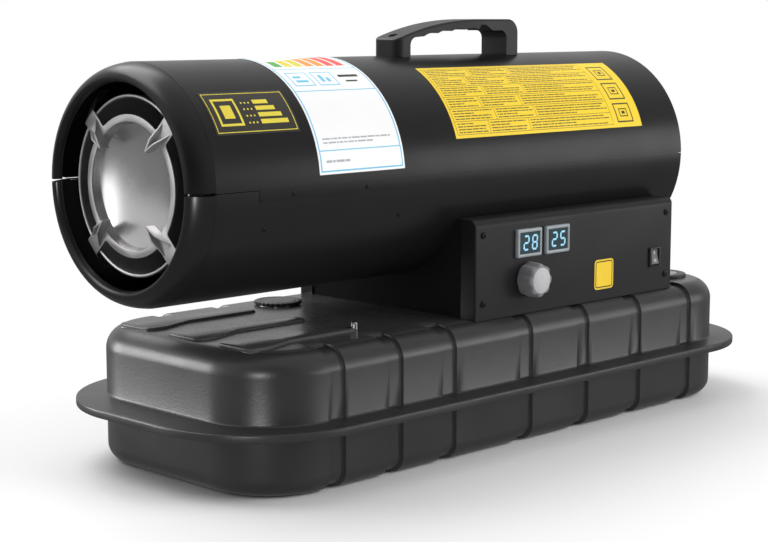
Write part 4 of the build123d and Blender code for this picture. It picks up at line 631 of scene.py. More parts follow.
def make_materials(tones):
    """Every finish. Each one is named after the record's slot that it shows."""
    finish("barrel_black", tones.barrel, 0.30, depth=0.010, scale=420, drift=0.10, spread=0.05, specular=0.42)
    finish("tank_black", tones.tank, 0.33, texture="leather", scale=620, depth=0.05, drift=0.12)
    # The tank's top faces take a copy of its plastic painted 1.9 times lighter: a painted sheen on the top.
    painted_sheen_tone = [1.9 * part for part in tones.tank]
    finish("tank_top", painted_sheen_tone, 0.26, texture="leather", scale=560, depth=0.035, drift=0.12)
    finish("panel_grey", tones.panel, 0.42, scale=1100, specular=0.36)
    finish("frame_black", tones.panel, 0.60, scale=1100, specular=0.12)
    finish("handle_charcoal", tones.handle, 0.42, texture="leather", depth=0.04)
    finish("knob_grey", tones.knob, 0.48, depth=0.03, scale=1300, drift=0.08)
    finish("knob_face", tones.knob_face, 0.42, depth=0.01, scale=1300, drift=0.06)
    finish("bezel_grey", (0.30, 0.33, 0.35), 0.22, depth=0.01, coat=0.5)
    finish("screen", (0.022, 0.045, 0.055), 0.12, depth=0.002, drift=0.25, coat=0.6)
    lit("digits", tones.digits, 1.0)
    finish("switch_black", (0.022, 0.022, 0.024), 0.35)
    finish("rocker_grey", (0.11, 0.11, 0.115), 0.38)
    finish("switch_mark", (0.78, 0.79, 0.80), 0.45, depth=0.01)
    finish("screw_black", (0.028, 0.028, 0.030), 0.30, metal=0.6, scale=1500)
    finish("bright_steel", tones.steel, 0.20, metal=1.0, texture="spun", scale=1400, depth=0.006, drift=0.06)
    finish("tube_steel", tones.steel, 0.48, metal=1.0, texture="spun", scale=700, depth=0.01, drift=0.12)
    finish("dish_steel", tones.steel, 0.25, metal=1.0, texture="spun", scale=1800, depth=0.004, drift=0.05)
    finish("ring_steel", tones.steel, 0.50, metal=1.0, depth=0.006, drift=0.08)
    finish("cast_metal", (0.34, 0.34, 0.35), 0.48, metal=0.9, depth=0.09, scale=700)
    finish("motor_steel", (0.20, 0.20, 0.21), 0.38, metal=0.8)
    finish("core_steel", (0.30, 0.29, 0.28), 0.42, metal=1.0, texture="spun", scale=2600, depth=0.03)
    finish("fan_metal", (0.62, 0.62, 0.63), 0.34, metal=1.0)
    finish("brass_fitting", (0.70, 0.50, 0.19), 0.28, metal=1.0, depth=0.01)
    finish("ceramic_white", (0.80, 0.78, 0.73), 0.25, depth=0.01)
    finish("black_rubber", (0.020, 0.020, 0.021), 0.72, depth=0.04)
    finish("cap_black", (0.026, 0.026, 0.028), 0.36, depth=0.03)
    finish("gauge_black", (0.024, 0.024, 0.026), 0.34, depth=0.03)
    glass("lens_clear", (0.92, 0.94, 0.95))
    finish("pointer_red", (0.60, 0.035, 0.02), 0.45, depth=0.01)
    finish("float_buff", (0.55, 0.45, 0.28), 0.7, depth=0.08)
    finish("label_yellow", tones.yellow, 0.36, depth=0.006, scale=500, drift=0.05)
    finish("label_white", tones.white, 0.34, depth=0.006, scale=500, drift=0.03)
    finish("label_black", (0.034, 0.032, 0.026), 0.34, depth=0.006, scale=500)
    finish("mark_yellow", (0.90, 0.62, 0.02), 0.36, depth=0.006, drift=0.05)
    for ink, tint in (("gold", (0.82, 0.68, 0.06)), ("grey", (0.115, 0.095, 0.035)), ("soft", (0.42, 0.44, 0.47)),
                      ("blue", tones.border), ("red", (0.90, 0.10, 0.07)), ("orange", (0.93, 0.33, 0.05)),
                      ("yellow", (0.80, 0.66, 0.05)), ("green", (0.10, 0.42, 0.10))):
        finish("ink_" + ink, tint, 0.4, depth=0.004)
    finish("board_green", (0.02, 0.13, 0.05), 0.35)
    finish("block_black", (0.03, 0.03, 0.032), 0.4, depth=0.03)


OWN_FINISH = {"base_frame": "frame_black"}


def dress_nodes():
    """Gives every node of the frame the finish of its slot."""
    for part in frame["record"]["subparts"]:
        node = frame["nodes"][part["node"]]
        for slot in node.material_slots:
            slot.material = MATERIALS[OWN_FINISH.get(part["node"], part["material_slot"])]


class HEATER_OT_finishes(bpy.types.Operator):
    """Makes every finish and gives the frame's nodes theirs."""

    bl_idname = "heater.finishes"
    bl_label = "Finishes"

    def execute(self, context):
        make_materials(context.scene.heater_tones)
        dress_nodes()
        return {"FINISHED"}


# Fuel tank


def smooth_step(t):
    """Rises smoothly from nought at 0 to one at 1."""
    t = min(max(t, 0), 1)
    return t * t * (3 - 2 * t)


# The X of the first upright channel, and the steps to the next ones in millimetres.
FIRST_CHANNEL = -255 * MM
CHANNEL_PITCHES = (70.5, 69.5, 107, 85, 84.5, 86)
# How far in from its outline the tank's plain top and underside begin, its wall, and the least step round it.
FLAT_INSET = 45 * MM
TANK_WALL = 6.5 * MM
LEAST_STEP = 0.05 * MM


def channel_places():
    """The X of each upright channel, from the outlet's end to the rear."""
    places = [FIRST_CHANNEL]
    for pitch in CHANNEL_PITCHES:
        places.append(places[-1] + pitch * MM)
    return places


def corner_stations(signs, start, steps, first, last):
    """Stations round one corner of the tank, from start on through a quarter turn."""
    return [("corner", signs, start + 90 * k / steps, 0) for k in range(first, last)]


def tank_stations(tank):
    """Points round the tank, against the clock: (kind, place or signs, side or angle, channel share)."""
    straight_x = tank.length / 2 - tank.corner
    marks = {-straight_x, straight_x}
    half = tank.channel_width / 2
    edge = tank.channel_slope
    for place in channel_places():
        for k in range(7):
            marks |= {place + way * half - edge / 2 + edge * k / 6 for way in (-1, 1)}
    marks |= {-straight_x + 2 * straight_x * k / 40 for k in range(41)}
    marks = sorted(m for m in marks if -straight_x <= m <= straight_x)
    kept = [marks[0]]
    for m in marks[1:]:
        if m - kept[-1] > LEAST_STEP:
            kept.append(m)

    def share_at(x):
        near = min(abs(x - place) for place in channel_places())
        return smooth_step((half + edge / 2 - near) / edge)

    stations = []
    for sign, row in ((-1, kept), (1, kept[::-1])):
        stations += [("side", x, sign, share_at(x)) for x in row]
        stations += corner_stations((-sign, sign), 90 * sign, 28, 1, 28)
        stations += [("end", -sign, sign * (1 - 2 * k / 12), 0) for k in range(13)]
        stations += corner_stations((-sign, -sign), 90 + 90 * sign, 28, 1, 28)
    return stations


def tank_point(station, wide, long, radius, inset, reference):
    """A station's place and outward direction on a rounded rectangle drawn in by inset."""
    kind, a, b, _ = station
    cx, cy = long / 2 - radius, wide / 2 - radius
    r = radius - inset
    if kind == "side":
        return a * cx / reference, b * (cy + r), (0, b)
    if kind == "end":
        return a * (cx + r), b * cy, (a, 0)
    c, s = math.cos(math.radians(b)), math.sin(math.radians(b))
    return a[0] * cx + r * c, a[1] * cy + r * s, (c, s)


def tank_levels(tank, flange_width, flange_length):
    """(outline, inset, z, level normal, rising normal, channel share) from the middle of the underside up."""
    body = (tank.width, tank.length, tank.corner)
    rim = (flange_width, flange_length, tank.flange_corner)
    top, bottom = tank.shoulder, tank.foot
    high = tank.flange_low + tank.flange_thick
    edge, soft = 1.6 * MM, 2.2 * MM
    rows = [(body, FLAT_INSET, 0, 0, -1, 0), (body, tank.channel_reach + 1 * MM, 0, 0, -1, 0)]
    for k in range(5):
        rows.append((body, tank.channel_reach - k * 0.5 * MM, 0, 0, -1, smooth_step(k / 4)))

    def bend(outline, radius, z, start, end, steps, share, tilted):
        """Rows round an edge. tilted lets their normals turn with it, for the channels' depth."""
        for x, y in arc((0, 0), 1, start, end, steps):
            normal = (x, y) if tilted else (1, 0)
            rows.append((outline, radius - radius * x, z + radius * y, *normal, share))

    bend(body, bottom, bottom, -90, 0, 12, 1, True)
    rows.append((body, 0, tank.flange_low, 1, 0, 1))
    bend(rim, edge, tank.flange_low + edge, -90, 0, 4, 0, False)
    bend(rim, edge, high - edge, 0, 90, 4, 0, False)
    bend(body, -soft, high + soft, 90, 0, 3, 1, False)
    bend(body, top, tank.height - top, 0, 90, 16, 1, True)
    for k in range(5):
        rows.append((body, tank.channel_reach - 2 * MM + k * 0.5 * MM, tank.height, 0, 1, smooth_step(1 - k / 4)))
    rows.append((body, FLAT_INSET, tank.height, 0, 1, 0))
    return rows


def tank_skin(tank, flange_width, flange_length):
    """The tank's outside."""
    stations = tank_stations(tank)
    straight = tank.length / 2 - tank.corner
    rings = []
    for (wide, long, radius), inset, z, level, rising, depth_share in tank_levels(tank, flange_width, flange_length):
        ring = []
        for station in stations:
            x, y, (nx, ny) = tank_point(station, wide, long, radius, inset, straight)
            deep = tank.channel_depth * depth_share * station[3]
            ring.append(Vector((x - deep * level * nx, y - deep * level * ny, z - deep * rising)))
        rings.append(ring)
    return loft("fuel_tank_skin", rings, "tank_black", sharp=50)


def tank_hollow(tank):
    """The space inside the tank, to be cut away."""
    stations = []
    for signs, start in (((1, -1), -90), ((1, 1), 0), ((-1, 1), 90), ((-1, -1), 180)):
        stations += corner_stations(signs, start, 8, 0, 9)
    wall = TANK_WALL
    rings = [[Vector((*tank_point(s, tank.width, tank.length, tank.corner, inset, 1)[:2], z)) for s in stations]
             for inset, z in ((wall + 14 * MM, 3 * MM), (wall, 18 * MM), (wall, tank.height - 21 * MM),
                              (wall + 16 * MM, tank.height - 6 * MM))]
    return loft("tank_hollow", rings, "tank_black")


def round_off(points, radius, steps=6):
    """Replaces each corner of a polygon by a soft bend of about this radius."""
    done = []
    for i, here in enumerate(points):
        here = Vector(here)
        back, on = Vector(points[i - 1]) - here, Vector(points[(i + 1) % len(points)]) - here
        reach = min(radius / math.tan(back.angle(on) / 2), back.length * 0.49, on.length * 0.49)
        start, end = here + back.normalized() * reach, here + on.normalized() * reach
        for k in range(steps + 1):
            t = k / steps
            done.append(tuple(start * (1 - t) ** 2 + here * 2 * t * (1 - t) + end * t ** 2))
    return done


def tank_tongue(tank, y):
    """One raised tongue on the tank's top, wide at the outlet's end."""
    start = -tank.length / 2 + tank.shoulder
    slope, neck, end = start + 20 * MM, start + 54 * MM, start + 138 * MM
    wide, thin = 23 * MM, 12 * MM
    outline = round_off(
        [(start, y - wide), (slope, y - wide), (neck, y - thin), (end, y - thin), (end, y + thin), (neck, y + thin),
         (slope, y + wide), (start, y + wide)], 8 * MM)
    rise = tank.tongue_rise
    rings = []
    for low, draw in ((-1.5 * MM, -1.2 * MM), (0, -0.9 * MM), (0.35 * MM, -0.35 * MM), (rise - 1.0 * MM, 0),
                      (rise - 0.35 * MM, 0.35 * MM), (rise, 1.1 * MM)):
        ring = []
        for i, p in enumerate(outline):
            before, after = Vector(outline[i - 1]), Vector(outline[(i + 1) % len(outline)])
            side = (after - before).normalized()
            spot = Vector(p) - Vector((side.y, -side.x)) * draw
            ring.append(Vector((*spot, tank.height + low)))
        rings.append(ring)
    # The tongues take the lighter copy of the plastic: painted sheen.
    return loft("tongue", rings, "tank_top", sharp=50)


# Heights between which the holes in the tank's top are cut.
BORE_LEVELS = (100 * MM, 140 * MM)


def hole_tool(name, x, y, low, high, radius, material):
    """An upright cylinder to cut a hole with."""
    return prism(name, circle(radius, 64), on_top(x, y, 0), low, high, material)


def make_tank(context):
    """The tank: its skin, hollow, holes and tongues."""
    tank = context.scene.heater_tank
    low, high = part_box("fuel_tank")
    skin = tank_skin(tank, high.y - low.y, high.x - low.x)
    skin = cut(skin, tank_hollow(tank), 50)
    cap, gauge, pickup, breather = (middle(n) for n in ("filler_cap", "gauge_body", "fuel_pickup", "tank_breather"))
    for spot, radius in ((cap, 17 * MM), (gauge, 16 * MM), (pickup, 6.2 * MM), (breather, 2.1 * MM)):
        skin = cut(skin, hole_tool("bore", spot.x, spot.y, *BORE_LEVELS, radius, "tank_black"), 50)
    tongues = [tank_tongue(tank, y) for y in (-tank.tongue_pitch, 0, tank.tongue_pitch)]
    piece = join("fuel_tank_shell", [skin] + tongues, 50)
    # Level faces on the tank's top take the lighter copy of the plastic: painted sheen.
    top, level = piece.data.materials.find("tank_top"), 0.97
    for face in piece.data.polygons:
        if face.normal.z > level and face.center.z > tank.height - 1 * MM:
            face.material_index = top
    piece.name = "fuel_tank_dressed"
    return finish_piece(piece, "root", "tank_black", "fuel_tank")


class HEATER_OT_tank(bpy.types.Operator):
    """Builds the fuel tank with its flange, channels and tongues."""

    bl_idname = "heater.tank"
    bl_label = "Fuel tank"

    def execute(self, context):
        make_tank(context)
        return {"FINISHED"}


# Fittings on the tank


def make_cap():
    """The filler cap with notches round its rim."""
    low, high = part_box("filler_cap")
    radius = (high.x - low.x) / 2
    centre = middle("filler_cap")
    base = corner("cap_gasket", 1, 2)
    top = high.z
    notches, notch_depth = 28, 1.1 * MM
    rows = [(0.985, base), (1.0, base + 0.4 * MM), (1.0, top - 0.9 * MM), (0.985, top - 0.35 * MM), (0.955, top),
            (0.80, top), (0.775, top - 0.5 * MM), (0.745, top - 0.5 * MM), (0.72, top), (0.3, top)]

    def rim(a, scale):
        """The cap's radius at an angle, with the notches on its outer rows only."""
        return radius * scale - (max(0, math.cos(notches * a)) ** 3 * notch_depth if scale > 0.9 else 0)

    place = on_top(centre.x, centre.y, 0)
    rings = [wavy_ring(place, rim, z, notches * 12, scale) for scale, z in rows]
    cap = loft("filler_cap_dressed", rings, "cap_black", sharp=40)
    plug = turned("plug", in_mm((12.5, -9), (14.5, -9), (15.3, -8), (15.3, 0.5), (12.5, 0.5)),
                  on_top(centre.x, centre.y, base), "cap_black")
    return finish_piece(join("filler_cap_dressed", [cap, plug], 40), "cap", "cap_black", "filler_cap")


def make_gauge(context):
    """The round gauge fitting with its window and scale."""
    centre = middle("gauge_body")
    seat, top = context.scene.heater_tank.height / MM, corner("gauge_body", 1, 2) / MM
    place = on_top(centre.x, centre.y, 0)
    pocket, outer, window = top - 2.4, 29, 19.5
    body = turned("body", in_mm(
        (3, pocket - 1.5), (window - 1.2, pocket - 1.5), (15.6, seat - 6), (15.7, seat - 6), (15.7, seat + 0.05),
        (outer - 0.4, seat + 0.05), (outer, seat + 0.5), (outer, top - 1.2), (outer - 0.35, top - 0.45),
        (outer - 1.1, top), (window + 2.6, top), (window + 1.9, top - 0.4), (window + 1.2, top),
        (window + 0.2, top), (window, top - 0.25), (window, top - 1.05), (window - 1.2, top - 1.05),
        (window - 1.2, pocket), (2, pocket), (2, pocket - 1.5)), place, "gauge_black", sharp=38)
    marks = []
    end, half = 17, 0.35
    for i in range(12):
        a = math.radians(198 * (i - 0.5) / 11 - 9)
        inner = end - (3.4 if i % 3 == 0 else 2.2)
        c, s = math.cos(a), math.sin(a)
        outline = in_mm(*[(r * c - side * s, r * s + side * c) for r, side in
                          ((inner, half), (inner, -half), (end, -half), (end, half))])
        marks.append(prism("mark", outline, place, (pocket - 0.1) * MM, (pocket + 0.06) * MM, "switch_mark"))
    return finish_piece(join("gauge_dressed", [body] + marks, 38), "root", "gauge_black", "gauge_body")


class HEATER_OT_fittings(bpy.types.Operator):
    """Builds the filler cap and the fuel gauge on the tank's top."""

    bl_idname = "heater.fittings"
    bl_label = "Cap and gauge"

    def execute(self, context):
        make_cap()
        make_gauge(context)
        return {"FINISHED"}


# Repeats by geometry nodes


def about_z(tree, angle):
    """A rotation about Z."""
    return first(tree, "FunctionNodeAxisAngleToRotation", {"Axis": (0, 0, 1), "Angle": angle})


def xyz(tree, *parts):
    """A vector of up to three parts."""
    return first(tree, "ShaderNodeCombineXYZ", dict(enumerate(parts)))


def point_row(tree, count):
    """Points at the origin, told apart by their index."""
    return first(tree, "GeometryNodeMeshLine", {"Count": count, "Offset": (0, 0, 0)})


def instances(tree, points, piece, **poses):
    """A copy of piece on every point."""
    return first(tree, "GeometryNodeInstanceOnPoints", {"Points": points, "Instance": piece, **poses})


def together(tree, *parts):
    """Geometry joined."""
    node = put(tree, "GeometryNodeJoinGeometry")
    for part in parts:
        tree.links.new(part, node.inputs[0])
    return node.outputs[0]


def geometry_tree(name, sockets):
    """A geometry node tree with these inputs: the tree, the values given to it and its last socket."""
    tree = bpy.data.node_groups.new(name, "GeometryNodeTree")
    tree.interface.new_socket("Geometry", in_out="INPUT", socket_type="NodeSocketGeometry")
    for label, kind in sockets:
        tree.interface.new_socket(label, in_out="INPUT", socket_type=kind)
    tree.interface.new_socket("Geometry", in_out="OUTPUT", socket_type="NodeSocketGeometry")
    return tree, tree.nodes.new("NodeGroupInput").outputs, tree.nodes.new("NodeGroupOutput").inputs[0]


def painted(tree, geometry, given, result):
    """Ends a geometry tree with its finish on the geometry."""
    last = first(tree, "GeometryNodeSetMaterial", {"Geometry": geometry, "Material": given["Finish"]})
    tree.links.new(last, result)
    return tree


def grown(name, tree, start, values, sharp=32):
    """The mesh that a tree makes from a start mesh and these input values."""
    obj = add(name, start)
    run = obj.modifiers.new("grow", "NODES")
    run.node_group = tree
    for item in tree.interface.items_tree:
        if item.item_type == "SOCKET" and item.in_out == "INPUT" and item.name in values:
            run[item.identifier] = values[item.name]
    return settle(obj, sharp)


def scatter_tree():
    """Sets a copy of a piece on every point, its top along the point's facing, turned by the point's turn."""
    if "Scatter heads" in bpy.data.node_groups:
        return bpy.data.node_groups["Scatter heads"]
    tree, given, result = geometry_tree(
        "Scatter heads", [("Piece", "NodeSocketObject"), ("Finish", "NodeSocketMaterial")])
    facing = put(tree, "GeometryNodeInputNamedAttribute", {"Name": "facing"}, data_type="FLOAT_VECTOR")
    turn = put(tree, "GeometryNodeInputNamedAttribute", {"Name": "turn"}, data_type="FLOAT")
    piece = put(tree, "GeometryNodeObjectInfo", {"Object": given["Piece"]}).outputs["Geometry"]
    lean = first(tree, "FunctionNodeAlignRotationToVector", {"Vector": facing.outputs[0]}, axis="Z")
    twist = about_z(tree, turn.outputs[0])
    pose = first(tree, "FunctionNodeRotateRotation", {0: lean, 1: twist}, rotation_space="LOCAL")
    many = instances(tree, given["Geometry"], piece, Rotation=pose)
    real = first(tree, "GeometryNodeRealizeInstances", {"Geometry": many})
    return painted(tree, real, given, result)


def scatter(name, piece, spots, material, sharp=32):
    """Copies of piece at spots of (place, facing, turn). The piece itself is removed."""
    mesh = bpy.data.meshes.new(name)
    mesh.from_pydata([tuple(place) for place, _, _ in spots], [], [])
    facing = mesh.attributes.new("facing", "FLOAT_VECTOR", "POINT")
    facing.data.foreach_set("vector", [c for _, way, _ in spots for c in way])
    turn = mesh.attributes.new("turn", "FLOAT", "POINT")
    turn.data.foreach_set("value", [t for _, _, t in spots])
    made = grown(name, scatter_tree(), mesh, {"Piece": piece, "Finish": MATERIALS[material]}, sharp)
    bpy.data.objects.remove(piece)
    return made


def pan_head(radius, height):
    """A low domed screw head with a cross recess, standing on nought and facing +Z."""
    place = on_top(0, 0, 0)
    outline = [(0.0001, -0.6 * MM), (radius, -0.6 * MM), (radius, height * 0.35)]
    outline += [(radius * math.cos(a), height * (0.35 + 0.65 * math.sin(a)))
                for a in (math.radians(d) for d in (18, 36, 54, 70, 82))]
    outline.append((0.0001, height))
    head = turned("head", outline, place, "screw_black", steps=48, sharp=45)
    wide, long = radius * 0.16, radius * 0.62
    cross = [(long, wide), (wide, wide), (wide, long), (-wide, long), (-wide, wide), (-long, wide),
             (-long, -wide), (-wide, -wide), (-wide, -long), (wide, -long), (wide, -wide), (long, -wide)]
    return cut(head, prism("cross", cross, place, height * 0.45, height * 2, "screw_black"), 45)


# Support box


def cover_section(box, side, low, inner):
    """The folded cover's section (y, z), from its lower edge round the bend to the barrel."""
    face, top = side * inner[0], inner[1]
    turn = box.bend if inner[2] else box.bend - box.sheet
    bend = arc((face - side * turn, top - turn), (side * turn, turn), 0, 90, 8)
    return [(face, low), *bend, (side * box.flange_end, top)]


def make_cover(box, node, side):
    """A cover: the face with its top bend, and the returns round the ends. side is the way it faces along Y."""
    low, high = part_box(node)
    face = max(abs(low.y), abs(high.y))
    outer = cover_section(box, side, low.z, (face, high.z, True))
    inner = cover_section(box, side, low.z, (face - box.sheet, high.z - box.sheet, False))
    outline = outer + list(reversed(inner))
    round_edge = 1.5 * MM
    rings = [[Vector((x, y, z)) for y, z in outline] for x in (low.x + round_edge, high.x - round_edge)]
    pieces = [loft("face", rings, "panel_grey")]
    if node == "control_panel":
        near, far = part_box("switch_housing")
        way = prism("way", rounded_outline(far.x - near.x - 1.9 * MM, far.z - near.z - 1.4 * MM, 0.6 * MM, 2),
                    on_panel((near.x + far.x) / 2, (near.z + far.z) / 2), -9 * MM, 1 * MM, "panel_grey")
        cut(pieces[0], way, 40)
    for end, out in ((low.x, -1), (high.x, 1)):
        inside = end - out * box.sheet
        plate = arc((end - out * round_edge, side * (face - round_edge)), (out * round_edge, side * round_edge),
                    90, 0, 6)
        plate += [(x, side * (face - back)) for x, back in
                  ((end, box.returns), (inside, box.returns), (inside, box.sheet),
                   (end - out * round_edge, box.sheet))]
        drop = high.z - box.bend
        rings = [[Vector((x, y, z)) for x, y in plate] for z in (low.z, drop)]
        for reach, z in arc((face - box.bend, drop), box.bend, 0, 90, 8)[1:]:
            rings.append([Vector((x, side * min(side * y, reach), z)) for x, y in plate])
        pieces.append(loft("return", rings, "panel_grey", sharp=40))
    return join(node + "_dressed", pieces, 40)


def make_box(context):
    """Both covers and their screws."""
    box = context.scene.heater_box
    for node, side in (("control_panel", -1), ("side_cover", 1)):
        finish_piece(make_cover(box, node, side), "root", "panel_grey", node)
    low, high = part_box("cover_screws")
    spots = []
    for side, face in ((-1, corner("control_panel", 0, 1)), (1, corner("side_cover", 1, 1))):
        for x in (low.x + box.screw_radius, high.x - box.screw_radius):
            for z in (low.z + box.screw_radius, high.z - box.screw_radius):
                spots.append(((x, face, z), (0, side, 0), 0.4 + len(spots) * 1.1))
    screws = scatter("cover_screws_dressed", pan_head(box.screw_radius, box.screw_height), spots,
                     "screw_black", 45)
    finish_piece(screws, "root", "screw_black", "cover_screws")


class HEATER_OT_box(bpy.types.Operator):
    """Builds the support box's covers and screws."""

    bl_idname = "heater.box"
    bl_label = "Support box"

    def execute(self, context):
        make_box(context)
        return {"FINISHED"}


# Displays


DIGIT_LEAN = 0.06
SEGMENTS = {"2": "abged", "5": "afgcd", "8": "abcdefg"}


def digit(box, sign, centre_u, place):
    """The lit bars of one seven-segment digit, leaning a little."""
    w, h, t = box.digit_width / 2, box.digit_height / 2, box.digit_stroke / 2
    gap = 0.25 * MM
    spots = {"a": (-w, h, w, h), "g": (-w, 0, w, 0), "d": (-w, -h, w, -h), "f": (-w, 0, -w, h), "b": (w, 0, w, h),
             "e": (-w, -h, -w, 0), "c": (w, -h, w, 0)}
    bars = []
    for letter in SEGMENTS[sign]:
        u0, v0, u1, v1 = spots[letter]
        u0, u1 = u0 * (1 - t / w), u1 * (1 - t / w)
        v0, v1 = v0 * (1 - t / h), v1 * (1 - t / h)
        if v0 == v1:
            outline = [(u0 + gap, v0), (u0 + t + gap, v0 - t), (u1 - t - gap, v0 - t), (u1 - gap, v0),
                       (u1 - t - gap, v0 + t), (u0 + t + gap, v0 + t)]
        else:
            outline = [(u0, v0 + gap), (u0 + t, v0 + t + gap), (u0 + t, v1 - t - gap), (u0, v1 - gap),
                       (u0 - t, v1 - t - gap), (u0 - t, v0 + t + gap)]
        outline = [(centre_u + u + DIGIT_LEAN * v, v) for u, v in outline]
        bars.append(prism("bar", outline, place, -0.02 * MM, 0.05 * MM, "digits"))
    return bars


def make_display(box, node, digits):
    """One display: a grey frame, a dark screen set in it and two lit digits."""
    low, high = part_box(node)
    mid = middle(node)
    place = on_panel(mid.x, mid.z)
    proud = corner("control_panel", 0, 1) - low.y
    wide, tall = high.x - low.x, high.z - low.z
    rim = box.display_rim
    rows = [(wide - 2 * inset, tall - 2 * inset, max(1.8 * MM - inset * 0.4, 0.4 * MM), up) for inset, up in
            ((0.0, 0.02 * MM), (0.0, proud - 1.2 * MM), (0.35 * MM, proud - 0.4 * MM), (1.1 * MM, proud),
             (rim - 0.5 * MM, proud), (rim, proud - 0.35 * MM), (rim + 0.1 * MM, proud - 1.1 * MM))]
    bezel = loft("frame", framed(place, rows), "bezel_grey", sharp=40)
    screen_outline = rounded_outline(wide - 2 * rim - 0.1 * MM, tall - 2 * rim - 0.1 * MM, 0.5 * MM, 3)
    level = proud - 1.0 * MM
    screen = prism("screen", screen_outline, place, level - 0.3 * MM, level, "screen")
    bars = []
    for k, sign in enumerate(digits):
        bars += digit(box, sign, box.digit_shift + (k - 0.5) * box.digit_pitch,
                      lambda u, v, h: place(u, v, h + level))
    can = prism("can", rounded_outline(wide - 5.6 * MM, tall - 5.6 * MM, 0.6 * MM, 2), place,
                corner("control_panel", 0, 1) - high.y, 0.1 * MM, "switch_black")
    return finish_piece(join(node + "_dressed", [bezel, screen, can] + bars, 40), "root", "bezel_grey", node)


class HEATER_OT_displays(bpy.types.Operator):
    """Builds the two number displays."""

    bl_idname = "heater.displays"
    bl_label = "Displays"

    def execute(self, context):
        for node, digits in (("left_display", "28"), ("right_display", "25")):
            make_display(context.scene.heater_box, node, digits)
        return {"FINISHED"}


# Knob


def tick_tree():
    """Bars along an arc, each pointing at its middle."""
    tree, given, result = geometry_tree("Ticks", [
        ("Count", "NodeSocketInt"), ("Radius", "NodeSocketFloat"), ("Sweep", "NodeSocketFloat"),
        ("Start", "NodeSocketFloat"), ("Size", "NodeSocketVector"), ("Finish", "NodeSocketMaterial")])
    line = point_row(tree, given["Count"])
    index = first(tree, "GeometryNodeInputIndex")
    last = calc(tree, "SUBTRACT", given["Count"], 1.0)
    portion = calc(tree, "DIVIDE", index, last)
    turn = calc(tree, "MULTIPLY_ADD", portion, given["Sweep"], given["Start"])
    across = calc(tree, "COSINE", turn)
    up = calc(tree, "SINE", turn)
    way = xyz(tree, across, up)
    spot = vector(tree, "SCALE", way, Scale=given["Radius"])
    moved = first(tree, "GeometryNodeSetPosition", {"Geometry": line, "Position": spot})
    bar = first(tree, "GeometryNodeMeshCube", {"Size": given["Size"]})
    pose = about_z(tree, turn)
    many = instances(tree, moved, bar, Rotation=pose)
    real = first(tree, "GeometryNodeRealizeInstances", {"Geometry": many})
    return painted(tree, real, given, result)


def make_knob(context):
    """The lobed knob with its pale face, pointer line and arc of ticks."""
    box = context.scene.heater_box
    low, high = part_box("control_knob")
    mid = middle("control_knob")
    place = on_panel(mid.x, mid.z)
    plate = corner("control_panel", 0, 1)
    front, back = plate - low.y, plate - high.y
    reach = (high.x - low.x) / 2

    def rim(a, draw, wave):
        """The knob's radius at an angle: drawn in by draw millimetres, with a share of the lobes' wave."""
        return reach - draw * MM - box.knob_wave * wave * (0.5 - 0.5 * math.cos(box.knob_lobes * a)) ** 1.6

    rows = [(back, 0.6, 0.5), (back + 0.5 * MM, 0.2, 0.8), (back + 1.5 * MM, 0.0, 1.0), (front - 3.2 * MM, 0.7, 1.0),
            (front - 1.9 * MM, 1.0, 1.0), (front - 0.9 * MM, 1.5, 0.95), (front - 0.3 * MM, 2.3, 0.85),
            (front, 3.4, 0.7)]
    rings = [wavy_ring(place, rim, up, box.knob_lobes * 20, draw, wave) for up, draw, wave in rows]
    knob = loft("knob", rings, "knob_grey", sharp=50)
    face = turned("face", in_mm((0.1, -0.6), (12.2, -0.6), (12.2, 0.1), (11.9, 0.35), (0.1, 0.35)),
                  lambda u, v, h: place(u, v, h + front), "knob_face")
    ticks = grown("ticks", tick_tree(), bpy.data.meshes.new("ticks"), {
        "Count": 9, "Radius": 9.6 * MM, "Sweep": math.radians(240), "Start": math.radians(-30),
        "Size": (2.0 * MM, 0.6 * MM, 0.1 * MM), "Finish": MATERIALS["ink_soft"]})
    lift = front + 0.38 * MM
    ticks.data.transform(Matrix(((1, 0, 0, mid.x), (0, 0, -1, plate - lift), (0, 1, 0, mid.z), (0, 0, 0, 1))))
    line = prism("line", rounded_outline(1.0 * MM, 6.0 * MM, 0.4 * MM, 3),
                 on_panel(mid.x, mid.z + 4.2 * MM), front + 0.3 * MM, front + 0.43 * MM, "ink_soft")
    finish_piece(join("control_knob_dressed", [knob, face, ticks, line], 50), "knob", "knob_grey", "control_knob")


class HEATER_OT_knob(bpy.types.Operator):
    """Builds the thermostat's knob."""

    bl_idname = "heater.knob"
    bl_label = "Knob"

    def execute(self, context):
        make_knob(context)
        return {"FINISHED"}


# Power switch


